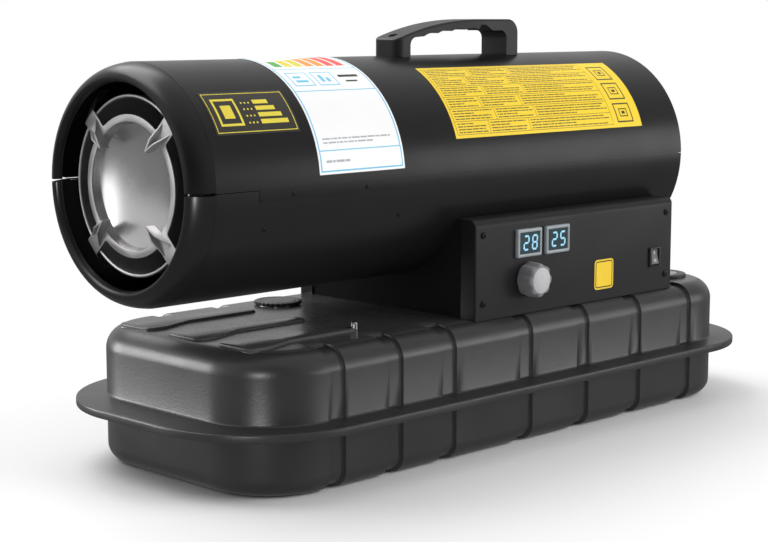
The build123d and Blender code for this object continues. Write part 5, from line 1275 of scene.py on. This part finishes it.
def make_switch(context):
    """The switch's bezel and its rocker, marked I and O."""
    low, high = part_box("switch_housing")
    mid = middle("switch_housing")
    plate = corner("control_panel", 0, 1)
    place = on_panel(mid.x, mid.z)
    proud = plate - low.y
    wide, tall = high.x - low.x, high.z - low.z
    well_floor = -7.6 * MM

    def well(top):
        """The rocker's well up to this height, to be cut away."""
        return prism("well", rounded_outline(12.6 * MM, 17.4 * MM, 0.5 * MM, 5), place, well_floor, top,
                     "switch_black")

    rows = [(wide - draw * MM, tall - draw * MM, radius * MM, up) for draw, radius, up in
            ((0, 1.2, 0.02 * MM), (0, 1.2, proud - 0.8 * MM), (0.6, 1.1, proud - 0.2 * MM), (1.6, 0.8, proud))]
    bezel = loft("bezel", framed(place, rows), "switch_black", sharp=40)
    cut(bezel, well(5 * MM), 40)
    back = prism("back", rounded_outline(wide - 5.6 * MM, tall - 2.4 * MM, 0.6 * MM, 2), place,
                 plate - high.y, well_floor - 0.1 * MM, "switch_black")
    skirt = cut(prism("skirt", rounded_outline(wide - 1.9 * MM, tall - 1.4 * MM, 0.6 * MM, 2), place,
                      well_floor - 0.1 * MM, 0.1 * MM, "switch_black"), well(1 * MM), 40)
    finish_piece(join("switch_dressed", [bezel, back, skirt], 40), "root", "switch_black", "switch_housing")

    joint = next(j for j in frame["joints"] if j["name"] == "switch_rock")
    pivot = Vector(joint["pos_m"])
    lean = math.radians(context.scene.heater_box.rocker_lean)
    half = 8.0 * MM
    # The rocker's section, (v, h), which reaches half up and down.
    section = in_mm((-8, 1.7), (-7.2, 2.15), (-4, 1.75), (0, 1.55), (4, 1.75), (7.2, 2.15), (8, 1.7), (6.4, -3.4),
                    (-6.4, -3.4))
    c, s = math.cos(lean), math.sin(lean)

    def tilt(u, v, h):
        """A point on the leaning rocker: u along X, v up its face, h out of it."""
        return pivot + Vector((u, -(h * c - v * s), v * c + h * s))

    rings = [[tilt(u * MM, v * (1 - draw * MM / half), h - (draw * MM if h > 0 else 0)) for v, h in section]
             for u, draw in ((-5.9, 0.25), (-5.6, 0.0), (5.6, 0.0), (5.9, 0.25))]
    rocker = loft("rocker", rings, "rocker_grey", sharp=35)
    bar = prism("bar", rounded_outline(0.8 * MM, 3.4 * MM, 0.2 * MM, 2), lambda u, v, h: tilt(u, v + 4.2 * MM, h),
                1.4 * MM, 1.92 * MM, "switch_mark")
    ring = turned("ring", in_mm((1.15, 1.4), (1.75, 1.4), (1.75, 1.92), (1.15, 1.92)),
                  lambda u, v, h: tilt(u, v - 4.2 * MM, h), "switch_mark", steps=40)
    finish_piece(join("switch_rocker_dressed", [rocker, bar, ring], 35), "rocker", "rocker_grey", "switch_rocker")


class HEATER_OT_switch(bpy.types.Operator):
    """Builds the power switch."""

    bl_idname = "heater.switch"
    bl_label = "Power switch"

    def execute(self, context):
        make_switch(context)
        return {"FINISHED"}


# Barrel


def shell_profile(barrel):
    """The shell's section (x, radius), from the rear round the rolled nose and back along the inside."""
    r, w = barrel.radius, barrel.wall
    start = barrel.front_x + barrel.nose_length
    low = r - barrel.nose_drop
    slot_end = barrel.front_x + barrel.slot_length
    points = [(barrel.rear_x - 0.4 * MM, r), (slot_end + 0.02 * MM, r), (slot_end, r), (start, r)]
    points += arc((start, low), (barrel.nose_length, barrel.nose_drop), 90, 180, 22)[1:]
    lip_x, lip_r = barrel.front_x + barrel.mouth_back, barrel.mouth_radius
    points += arc((lip_x, low), (barrel.mouth_back, low - lip_r), 180, 270, 10)[1:]
    bead = barrel.hem_radius
    points += arc((lip_x + bead, lip_r + bead * 0.6), bead, 240, 410, 8)
    inside = low - w
    points += arc((start, inside), (barrel.nose_length - w, barrel.nose_drop), 172, 90, 16)
    points += [(slot_end, r - w), (slot_end + 0.02 * MM, r - w), (barrel.rear_x - 0.4 * MM, r - w),
               (barrel.rear_x, r - w + 0.35 * MM), (barrel.rear_x, r - 0.35 * MM)]
    return points


def half_shell(barrel, name, first, last):
    """Half the barrel between two angles, open by the seam, and wider open at the slot in the nose."""
    outline = shell_profile(barrel)
    slot_end = barrel.front_x + barrel.slot_length
    rings = []
    for i in range(barrel.steps + 1):
        t = i / barrel.steps
        ring = []
        for x, r in outline:
            gap = barrel.slot_height if x < slot_end + 0.01 * MM else barrel.seam_gap
            trim = math.degrees(math.asin(gap / 2 / r))
            ring.append(on_barrel(x, first + trim + (last - first - 2 * trim) * t, r))
        rings.append(ring)
    return loft(name, rings, "barrel_black", sharp=38)


def lap_band(barrel, first, last):
    """The raised band along the seam."""
    r, up = barrel.radius, barrel.lap_rise
    front, rear = barrel.lap_front_x, barrel.rear_x - 5 * MM
    outline = [(front, r - 0.1 * MM), (front, r + up * 0.6), (front + up * 0.5, r + up), (rear - up * 0.5, r + up),
               (rear, r + up * 0.6), (rear, r - 0.1 * MM)]
    return spin("lap", outline, "barrel_black", first, last, 10, 38)


def make_barrel(context):
    """Both halves of the barrel, the seam's bands and the screws."""
    barrel = context.scene.heater_barrel
    lap = math.degrees(barrel.lap_angle)
    upper = half_shell(barrel, "upper_half", 0, 180)
    bands = [lap_band(barrel, -lap, 0.12), lap_band(barrel, 179.88, 180 + lap)]
    finish_piece(join("upper_shell_dressed", [upper] + bands, 38), "root", "barrel_black", "upper_shell")
    lower = half_shell(barrel, "lower_half", -180, 0)
    fuel, air = middle("fuel_hose"), corner("air_hose", 1, 0)
    hose_radius = 4.4 * MM
    for x, y, radius in ((fuel.x, 0, 16 * MM), (air - hose_radius, -9 * MM, 9 * MM)):
        lower = cut(lower, hole_tool("hole", x, y, 120 * MM, 200 * MM, radius, "barrel_black"), 38)
    finish_piece(join("lower_shell_dressed", [lower], 38), "root", "barrel_black", "lower_shell")
    spots = []
    for x, degrees, lift in ((-309, -18.7, 0), (-149, -18.7, 0), (-280, -lap / 2, 0.5), (-194, -lap / 2, 0.5)):
        for turn in (degrees, 180 - degrees):
            place = on_barrel(x * MM, turn, barrel.radius + lift * MM)
            spots.append((tuple(place), outward(turn), 0.3 + len(spots) * 0.9))
    screws = scatter("shell_screws_dressed", pan_head(2.1 * MM, 0.9 * MM), spots, "screw_black", 45)
    finish_piece(screws, "root", "screw_black", "shell_screws")


class HEATER_OT_barrel(bpy.types.Operator):
    """Builds the barrel with its rolled nose, seam and screws."""

    bl_idname = "heater.barrel"
    bl_label = "Barrel"

    def execute(self, context):
        make_barrel(context)
        return {"FINISHED"}


# Outlet


def make_tube(outlet):
    """The flame tube with its beaded rim and air holes."""
    low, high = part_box("flame_tube")
    r, w, bead = outlet.tube_radius, outlet.tube_wall, outlet.bead
    centre = (low.x + bead, r)
    outline = [(high.x, r - w), (high.x, r), (low.x + 2.8 * bead, r)]
    outline += arc(centre, bead, 30, 330, 16)
    outline += [(low.x + 2.8 * bead, r - w)]
    tube = spin("tube", outline, "tube_steel", steps=160, sharp=38)
    post = prism("post", circle(outlet.hole_radius, 20), on_top(0, 0, 0), -4 * MM, 4 * MM, "tube_steel")
    spots = [(tuple(on_barrel(x * MM, turn, r - w / 2)), outward(turn), 0)
             for x in (-120, -80, -40) for turn in range(0, 360, 30)]
    tube = cut(tube, scatter("posts", post, spots, "tube_steel"), 38)
    tube.name = "flame_tube_dressed"
    return finish_piece(tube, "root", "bright_steel", "flame_tube")


def make_dish(outlet):
    """The polished dish behind the ring."""
    low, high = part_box("flame_dome")
    front, reach = low.x, (high.z - low.z) / 2
    inner = outlet.ring_inner + 0.3 * MM
    foot = inner - outlet.dish_draft
    rim_x = front + outlet.dish_wall
    face = [(front, reach), (front, inner + 1.2 * MM)]
    face += arc((front + 1.2 * MM, inner + 1.2 * MM), 1.2 * MM, 180, 262, 5)
    face.append((rim_x - 1.6 * MM, foot + 0.5 * MM))
    for k in range(25):
        t = k / 24
        r = foot * (1 - t) + 0.0001 * t
        face.append((rim_x + outlet.dish_depth * (1 - (r / foot) ** 2) ** 0.9, r))
    sheet = 0.9 * MM
    back = [(x + sheet, max(r, 0.0001)) for x, r in reversed(face)]
    back[-1] = (front + sheet, reach)
    dish = spin("dish", face + back, "dish_steel", steps=160, sharp=45)
    dish.name = "flame_dome_dressed"
    return finish_piece(dish, "root", "bright_steel", "flame_dome")


def make_ring(node):
    """The diffuser: the node's own shape, with merged faces and every sharp edge rounded."""
    obj = add(node + "_dressed", frame["nodes"][node].data.copy())
    work = bmesh.new()
    work.from_mesh(obj.data)
    bmesh.ops.remove_doubles(work, verts=work.verts, dist=1e-6)
    bmesh.ops.dissolve_limit(work, angle_limit=math.radians(1), verts=work.verts, edges=work.edges)
    work.to_mesh(obj.data)
    work.free()
    if obj.data.has_custom_normals:
        obj.data.attributes.remove(obj.data.attributes["custom_normal"])
    bevel = obj.modifiers.new("round", "BEVEL")
    bevel.width = 0.22 * MM
    bevel.segments = 2
    bevel.limit_method = "ANGLE"
    bevel.angle_limit = math.radians(38)
    bevel.harden_normals = False
    settle(obj, 35)
    finish_piece(obj, frame["nodes"][node]["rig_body"], "bright_steel", node)
    obj.data.materials.clear()
    obj.data.materials.append(MATERIALS["ring_steel"])
    return obj


class HEATER_OT_outlet(bpy.types.Operator):
    """Builds the flame tube, the diffuser and the dish."""

    bl_idname = "heater.outlet"
    bl_label = "Outlet"

    def execute(self, context):
        outlet = context.scene.heater_outlet
        make_tube(outlet)
        make_dish(outlet)
        make_ring("flame_diffuser")
        return {"FINISHED"}


# Rear guard


def guard_tree():
    """Rings and spokes of round wire in the XY plane, with a round plate in the middle."""
    tree, given, result = geometry_tree("Guard", [
        ("Rings", "NodeSocketInt"), ("Rim", "NodeSocketFloat"), ("Pitch", "NodeSocketFloat"),
        ("Spokes", "NodeSocketInt"), ("Hub", "NodeSocketFloat"), ("Wire", "NodeSocketFloat"),
        ("Flatness", "NodeSocketFloat"), ("Finish", "NodeSocketMaterial")])
    line = point_row(tree, given["Rings"])
    index = first(tree, "GeometryNodeInputIndex")
    drop = calc(tree, "MULTIPLY", index, given["Pitch"])
    size = calc(tree, "SUBTRACT", given["Rim"], drop)
    hoop = first(tree, "GeometryNodeCurvePrimitiveCircle", {"Resolution": 128, "Radius": 1.0})
    grow = xyz(tree, size, size, 1.0)
    rings = instances(tree, line, hoop, Scale=grow)
    dots = point_row(tree, given["Spokes"])
    step = calc(tree, "DIVIDE", math.tau, given["Spokes"])
    turn = calc(tree, "MULTIPLY", index, step)
    pose = about_z(tree, turn)
    near = xyz(tree, given["Hub"])
    far = xyz(tree, given["Rim"])
    bar = first(tree, "GeometryNodeCurvePrimitiveLine", {"Start": near, "End": far})
    spokes = instances(tree, dots, bar, Rotation=pose)
    real = first(tree, "GeometryNodeRealizeInstances", {"Geometry": together(tree, rings, spokes)})
    section = first(tree, "GeometryNodeCurvePrimitiveCircle", {"Resolution": 12, "Radius": given["Wire"]})
    wires = first(tree, "GeometryNodeCurveToMesh",
                {"Curve": real, "Profile Curve": section, "Fill Caps": True})
    deep = calc(tree, "MULTIPLY", given["Wire"], 2.0)
    plate = first(tree, "GeometryNodeMeshCylinder", {"Vertices": 64, "Radius": given["Hub"], "Depth": deep})
    whole = together(tree, wires, plate)
    flat = xyz(tree, 1.0, 1.0, given["Flatness"])
    pressed = first(tree, "GeometryNodeTransform", {"Geometry": whole, "Scale": flat})
    return painted(tree, pressed, given, result)


class HEATER_OT_rear(bpy.types.Operator):
    """Builds the guard over the air inlet."""

    bl_idname = "heater.rear"
    bl_label = "Rear guard"

    def execute(self, context):
        low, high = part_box("rear_guard")
        reach = (high.z - low.z) / 2
        wire = 1.2 * MM
        depth = (high.x - low.x) / 2
        guard = grown("rear_guard_dressed", guard_tree(), bpy.data.meshes.new("guard"), {
            "Rings": 7, "Rim": reach - wire, "Pitch": 13.5 * MM, "Spokes": 6, "Hub": 16 * MM, "Wire": wire,
            "Flatness": depth / wire, "Finish": MATERIALS["screw_black"]}, 40)
        guard.data.transform(Matrix(((0, 0, 1, low.x + depth), (1, 0, 0, 0), (0, 1, 0, AXIS_Z), (0, 0, 0, 1))))
        finish_piece(guard, "root", "screw_black", "rear_guard")
        return {"FINISHED"}


# Stickers


def wrapped(name, patches, low, high, material):
    """Thin closed patches round the barrel. Each is (x0, x1, first angle, last angle) in metres and degrees."""
    verts, faces = [], []
    for x0, x1, a0, a1 in patches:
        steps = max(1, math.ceil(abs(a1 - a0) / 1.5))
        base = len(verts)
        for k in range(steps + 1):
            a = a0 + (a1 - a0) * k / steps
            verts += [on_barrel(x0, a, low), on_barrel(x1, a, low), on_barrel(x1, a, high), on_barrel(x0, a, high)]
        for k in range(steps):
            here = base + 4 * k
            for i in range(4):
                j = (i + 1) % 4
                faces.append((here + i, here + j, here + 4 + j, here + 4 + i))
        end = base + 4 * steps
        faces.append((base, base + 1, base + 2, base + 3))
        faces.append((end, end + 1, end + 2, end + 3))
    return new_object(name, verts, faces, material, 50)


class Sheet:
    """Print on one sticker, laid out in millimetres from its lower left corner: u along X, v up the barrel."""

    def __init__(self, node, x0, x1, a0, a1):
        self.node, self.x0, self.x1, self.a0, self.a1 = node, x0 * MM, x1 * MM, a0, a1
        self.per_mm = 180 / math.pi / (BARREL_RADIUS / MM)
        self.width = x1 - x0
        self.height = (a1 - a0) / self.per_mm
        self.inks = {}

    def bar(self, ink, u, v, wide, tall):
        """A filled rectangle."""
        self.inks.setdefault(ink, []).append((
            self.x0 + u * MM, self.x0 + (u + wide) * MM,
            self.a0 + v * self.per_mm, self.a0 + (v + tall) * self.per_mm))

    def outline(self, ink, u, v, wide, tall, line):
        """A rectangle's outline."""
        self.bar(ink, u, v, wide, line)
        self.bar(ink, u, v + tall - line, wide, line)
        self.bar(ink, u, v + line, line, tall - 2 * line)
        self.bar(ink, u + wide - line, v + line, line, tall - 2 * line)

    def words(self, ink, u, v, wide, tall, seed):
        """A line of short bars that stands for print."""
        at, k = u, seed
        while at < u + wide - 1.5:
            k = (k * 7 + 3) % 11
            run = min(2.2 + 0.75 * k, u + wide - at)
            self.bar(ink, at, v, run, tall)
            at += run + 1.0

    def make(self, name, film):
        """The film and its print as one piece."""
        low = BARREL_RADIUS + 0.05 * MM
        high = BARREL_RADIUS + 0.35 * MM
        pieces = [wrapped("film", [(self.x0, self.x1, self.a0, self.a1)], low, high, film)]
        for ink, patches in self.inks.items():
            pieces.append(wrapped(ink, patches, high - 0.02 * MM, high + 0.03 * MM, ink))
        return finish_piece(join(name, pieces, 50), "root", film, self.node)


def yellow_sheet():
    """The long yellow sticker: ruled blocks of print, and plain framed squares at its right end."""
    sheet = Sheet("side_label", -75, 206, 17, 63.2)
    line, inset, wide, rows = 0.45, 3, 232, 6
    sheet.outline("ink_grey", inset, inset, wide, sheet.height - 2 * inset, line)
    pitch = (sheet.height - 2 * inset) / rows
    for row in range(1, rows):
        sheet.bar("ink_grey", inset, inset + row * pitch - line / 2, wide, line)
    for row in range(rows):
        base = inset + row * pitch
        splits = (60, 118) if row % 2 else (46, 104)
        for u in splits:
            sheet.bar("ink_grey", inset + u, base, line, pitch)
        edges = (0, *splits, wide)
        for k, (left, right) in enumerate(zip(edges, edges[1:])):
            for text in range(4):
                room = (right - left - 6) * (1, 0.93, 0.97, 0.55)[(text + row + k) % 4]
                sheet.words("ink_grey", 6 + left, base + pitch * (0.14 + 0.21 * text), room, 1.05,
                            row * 5 + k * 3 + text)
    size = 21
    for k in range(3):
        v = 5 + k * (size + 4.4)
        sheet.outline("label_black", 243, v, size + 5, size, 1.5)
        sheet.outline("label_black", 249.5, v + 6, 13, 9, 1.1)
        sheet.bar("label_black", 253.5, v + 9, 5, 3)
    return sheet.make("side_label_dressed", "label_yellow")


def white_sheet():
    """The tall white sticker: a pale blue border, columns of colour, plain boxes and grey print."""
    sheet = Sheet("energy_label", -250, -147, 4.6, 91)
    top = sheet.height
    sheet.outline("ink_blue", 2, 2, sheet.width - 4, top - 4, 1.3)
    colours = ("ink_green", "ink_yellow", "ink_yellow", "ink_orange", "ink_orange", "ink_red", "ink_red")
    for k, ink in enumerate(colours):
        sheet.bar(ink, 9 + k * 12.4, 118, 9.4, 14 + 3.0 * k)
    sheet.bar("ink_blue", 2, 112, sheet.width - 4, 0.9)
    for u in (9, 38):
        sheet.outline("ink_blue", u, 86, 24, 20, 1.1)
    for spot in ((14, 91, 14, 3), (14, 97, 9, 3), (44, 91, 4, 10), (51, 91, 4, 6), (2, 79, sheet.width - 4, 0.9)):
        sheet.bar("ink_blue", *spot)
    for spot in ((68, 97, 24, 3.6), (72, 90, 14, 2.2)):
        sheet.bar("label_black", *spot)
    sheet.words("ink_soft", 9, 30, 84, 1.4, 4)
    sheet.words("ink_soft", 9, 26.5, 60, 1.4, 8)
    sheet.bar("ink_blue", 2, 20, sheet.width - 4, 0.9)
    sheet.words("ink_soft", 9, 10, 28, 2.0, 2)
    return sheet.make("energy_label_dressed", "label_white")


def black_sheet():
    """The black sticker: a thin yellow outline, a framed square, and bars of falling length."""
    sheet = Sheet("front_label", -353.5, -262.5, 26, 49.5)
    sheet.outline("ink_gold", 2, 2, sheet.width - 4, sheet.height - 4, 0.7)
    sheet.outline("ink_gold", 8, 8, 25, sheet.height - 16, 2.2)
    sheet.bar("ink_gold", 15, 15, 11, sheet.height - 30)
    for k in range(4):
        sheet.bar("ink_gold", 52, 9 + 6.6 * k, 30 - 4.5 * k, 4.2)
    for k in range(12):
        sheet.bar("ink_gold", 38.5 + 4 * (k % 3), 9.5 + 6.6 * (k // 3), 1.6, 1.6)
    return sheet.make("front_label_dressed", "label_black")


def make_mark(context):
    """The plain square mark on the panel."""
    low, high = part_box("panel_mark")
    mid = (low + high) / 2
    size = context.scene.heater_box.mark_size
    place = on_panel(mid.x, mid.z)
    film = prism("film", rounded_outline(size, size, 4 * MM, 8), place, 0.02 * MM, 0.3 * MM, "mark_yellow")
    reach, width = size - 3.2 * MM, 1.1 * MM
    outer, inner = (reach, reach, 2.8 * MM), (reach - 2 * width, reach - 2 * width, 1.9 * MM)
    rows = [(*outer, 0.28 * MM), (*outer, 0.33 * MM), (*inner, 0.33 * MM), (*inner, 0.28 * MM)]
    line = loft("line", framed(place, rows, 8), "label_black", looped=True, sharp=50)
    return finish_piece(join("panel_mark_dressed", [film, line], 50), "root", "mark_yellow", "panel_mark")


class HEATER_OT_labels(bpy.types.Operator):
    """Builds the stickers with their plain print."""

    bl_idname = "heater.labels"
    bl_label = "Stickers"

    def execute(self, context):
        yellow_sheet()
        white_sheet()
        black_sheet()
        make_mark(context)
        return {"FINISHED"}


# Floor, light and camera


FLOOR_LEVEL = -0.4 * MM
PALE = (0.95, 0.95, 0.95, 1)
WHITE = (1, 1, 1, 1)


def make_floor(studio):
    """A pale round floor that fades to white with distance from the heater."""
    ring = [(*spot, FLOOR_LEVEL) for spot in circle(studio.floor_radius, 96)]
    mesh = bpy.data.meshes.new("floor")
    mesh.from_pydata(ring, [], [tuple(range(len(ring)))])
    floor = add("floor", mesh)
    material, tree, shader = new_material("floor")
    place = object_place(tree)
    cloud = first(tree, "ShaderNodeTexNoise", {"Vector": place, "Scale": 3.0})
    drift = mapped(tree, cloud, target=(0.52, 0.58))
    feed(tree, shader, {"Base Color": PALE, "Roughness": drift, "Specular IOR Level": 0.25})
    scaled = vector(tree, "MULTIPLY", place, (1.0, 1.35, 1.0))
    far = put(tree, "ShaderNodeVectorMath", {0: scaled}, operation="LENGTH")
    fade = mapped(tree, far.outputs["Value"], (studio.fade_start, studio.fade_end), interpolation_type="SMOOTHSTEP")
    white = first(tree, "ShaderNodeEmission", {"Color": WHITE})
    blend = first(tree, "ShaderNodeMixShader", {0: fade, 1: shader.outputs[0], 2: white})
    dim = first(tree, "ShaderNodeEmission", {"Color": WHITE, "Strength": studio.floor_mirror})
    ray = put(tree, "ShaderNodeLightPath")
    seen = first(tree, "ShaderNodeMixShader", {0: ray.outputs["Is Glossy Ray"], 1: blend, 2: dim})
    tree.links.new(seen, tree.nodes["Material Output"].inputs["Surface"])
    mesh.materials.append(material)


def level_toward(tree, way, aim, edges, levels):
    """A level that changes smoothly where the cosine between way and aim goes from edge to edge."""
    near = put(tree, "ShaderNodeVectorMath", {0: way, 1: tuple(Vector(aim).normalized())}, operation="DOT_PRODUCT")
    return mapped(tree, near.outputs["Value"], edges, levels, interpolation_type="SMOOTHSTEP")


def make_world(studio):
    """White for the camera, and for light a studio that is bright behind, with a dark card in front."""
    world = bpy.data.worlds.new("studio")
    bpy.context.scene.world = world
    world.use_nodes = True
    tree = world.node_tree
    base = tree.nodes["Background"]
    way = put(tree, "ShaderNodeTexCoord").outputs["Generated"]
    level = level_toward(tree, way, studio.bright_way, (studio.dim_edge, studio.bright_edge),
                         (studio.front_light, studio.back_light))
    keep = level_toward(tree, way, studio.dark_way, (studio.card_edge, studio.card_core), (1.0, studio.card_light))
    tree.links.new(calc(tree, "MULTIPLY", level, keep), base.inputs["Strength"])
    base.inputs["Color"].default_value = WHITE
    white = first(tree, "ShaderNodeBackground", {"Color": WHITE})
    ray = put(tree, "ShaderNodeLightPath")
    blend = first(tree, "ShaderNodeMixShader", {0: ray.outputs["Is Camera Ray"], 1: base.outputs[0], 2: white})
    tree.links.new(blend, tree.nodes["World Output"].inputs["Surface"])


def make_lamp(name, place, aim, width, height, power):
    """A soft rectangular lamp that faces a point."""
    light = bpy.data.lights.new(name, "AREA")
    light.shape = "RECTANGLE"
    light.size = width
    light.size_y = height
    light.energy = power
    lamp = add(name, light)
    lamp.location = place
    lamp.rotation_euler = (Vector(aim) - Vector(place)).to_track_quat("-Z", "Y").to_euler()
    return lamp


def make_camera(studio):
    """The camera, from the photograph's point of view."""
    camera = add("camera", bpy.data.cameras.new("camera"))
    camera.data.lens = studio.lens
    camera.data.sensor_width = 36
    camera.data.clip_start = 0.05
    camera.data.clip_end = 60
    camera.location = studio.place
    camera.rotation_euler = (math.pi / 2 - studio.rise, 0, studio.bearing)
    bpy.context.scene.camera = camera


def light_only(lamp, names):
    """Makes a lamp light only the pieces of these names."""
    group = bpy.data.collections.new(lamp.name + "_pieces")
    for name in names:
        group.objects.link(bpy.data.objects[name])
    for entry in group.collection_objects:
        entry.light_linking.link_state = "INCLUDE"
    lamp.light_linking.receiver_collection = group


TANK_PIECE = ("fuel_tank_dressed",)
STEEL_PIECES = ("flame_dome_dressed", "flame_diffuser_dressed", "flame_tube_dressed")
# Each lamp: name, place, point it faces, width, height, its power in the studio, and the pieces that it lights
# where it doesn't light them all.
LAMPS = (
    ("soft_top", (-0.5, 1.3, 2.2), (-0.05, 0, 0.3), 2.6, 1.6, "top_power", ()),
    ("soft_side", (1.2, -1.9, 0.05), (0.0, 0, 0.06), 1.4, 0.5, "side_power", TANK_PIECE),
    ("soft_edges", (-1.6, -0.95, 0.30), (-0.1, -0.13, 0.07), 0.5, 0.5, "edge_power", TANK_PIECE),
    ("soft_nose", (-1.3, -1.4, 0.02), (-0.35, 0, 0.22), 0.25, 0.5, "nose_power", ("lower_shell_dressed",)),
    ("soft_left", (-0.92, 0.98, 0.26), (-0.34, 0, 0.10), 0.55, 0.5, "left_power", TANK_PIECE),
    ("soft_outlet", (-1.9, 0.7, 0.55), (-0.37, 0, 0.26), 0.5, 1.8, "outlet_power", STEEL_PIECES),
    ("soft_right", (2.1, -1.7, 0.45), (0.1, 0, 0.2), 1.3, 0.9, "right_power", ()),
    ("fill_front", (1.2, -2.0, 1.5), (0, 0, 0.2), 2.0, 2.0, "fill_power", ()),
)


class HEATER_OT_stage(bpy.types.Operator):
    """Makes the floor, the lights and the camera."""

    bl_idname = "heater.stage"
    bl_label = "Floor, light and camera"

    def execute(self, context):
        studio = context.scene.heater_studio
        make_floor(studio)
        make_world(studio)
        for name, place, aim, width, height, power, pieces in LAMPS:
            lamp = make_lamp(name, place, aim, width, height, getattr(studio, power))
            if pieces:
                light_only(lamp, pieces)
            lamp.visible_glossy = name != "fill_front"
        make_camera(studio)
        context.scene.view_settings.view_transform = "Standard"
        return {"FINISHED"}


STEPS = (
    HEATER_OT_finishes,
    HEATER_OT_tank,
    HEATER_OT_fittings,
    HEATER_OT_box,
    HEATER_OT_displays,
    HEATER_OT_knob,
    HEATER_OT_switch,
    HEATER_OT_barrel,
    HEATER_OT_outlet,
    HEATER_OT_rear,
    HEATER_OT_labels,
    HEATER_OT_stage,
)


class HEATER_PT_pieces(bpy.types.Panel):
    """Lists the steps in the 3D view's sidebar."""

    bl_idname = "HEATER_PT_pieces"
    bl_label = "Diesel heater"
    bl_space_type = "VIEW_3D"
    bl_region_type = "UI"
    bl_category = "Heater"

    def draw(self, context):
        for step in STEPS:
            self.layout.operator(step.bl_idname)


SETTINGS = {
    "heater_barrel": BarrelSizes,
    "heater_outlet": OutletSizes,
    "heater_tank": TankSizes,
    "heater_box": BoxSizes,
    "heater_tones": Finishes,
    "heater_studio": Studio,
}


def register():
    """Registers the settings, the steps and the panel."""
    for group in SETTINGS.values():
        bpy.utils.register_class(group)
    for step in STEPS:
        bpy.utils.register_class(step)
    bpy.utils.register_class(HEATER_PT_pieces)
    for name, group in SETTINGS.items():
        setattr(bpy.types.Scene, name, PointerProperty(type=group))


def unregister():
    """Takes the panel, the steps and the settings off again."""
    for name in SETTINGS:
        delattr(bpy.types.Scene, name)
    bpy.utils.unregister_class(HEATER_PT_pieces)
    for step in reversed(STEPS):
        bpy.utils.unregister_class(step)
    for group in SETTINGS.values():
        bpy.utils.unregister_class(group)


def main():
    """Builds every piece in order."""
    register()
    for step in STEPS:
        family, name = step.bl_idname.split(".")
        getattr(getattr(bpy.ops, family), name)()


if __name__ == "__main__":
    main()
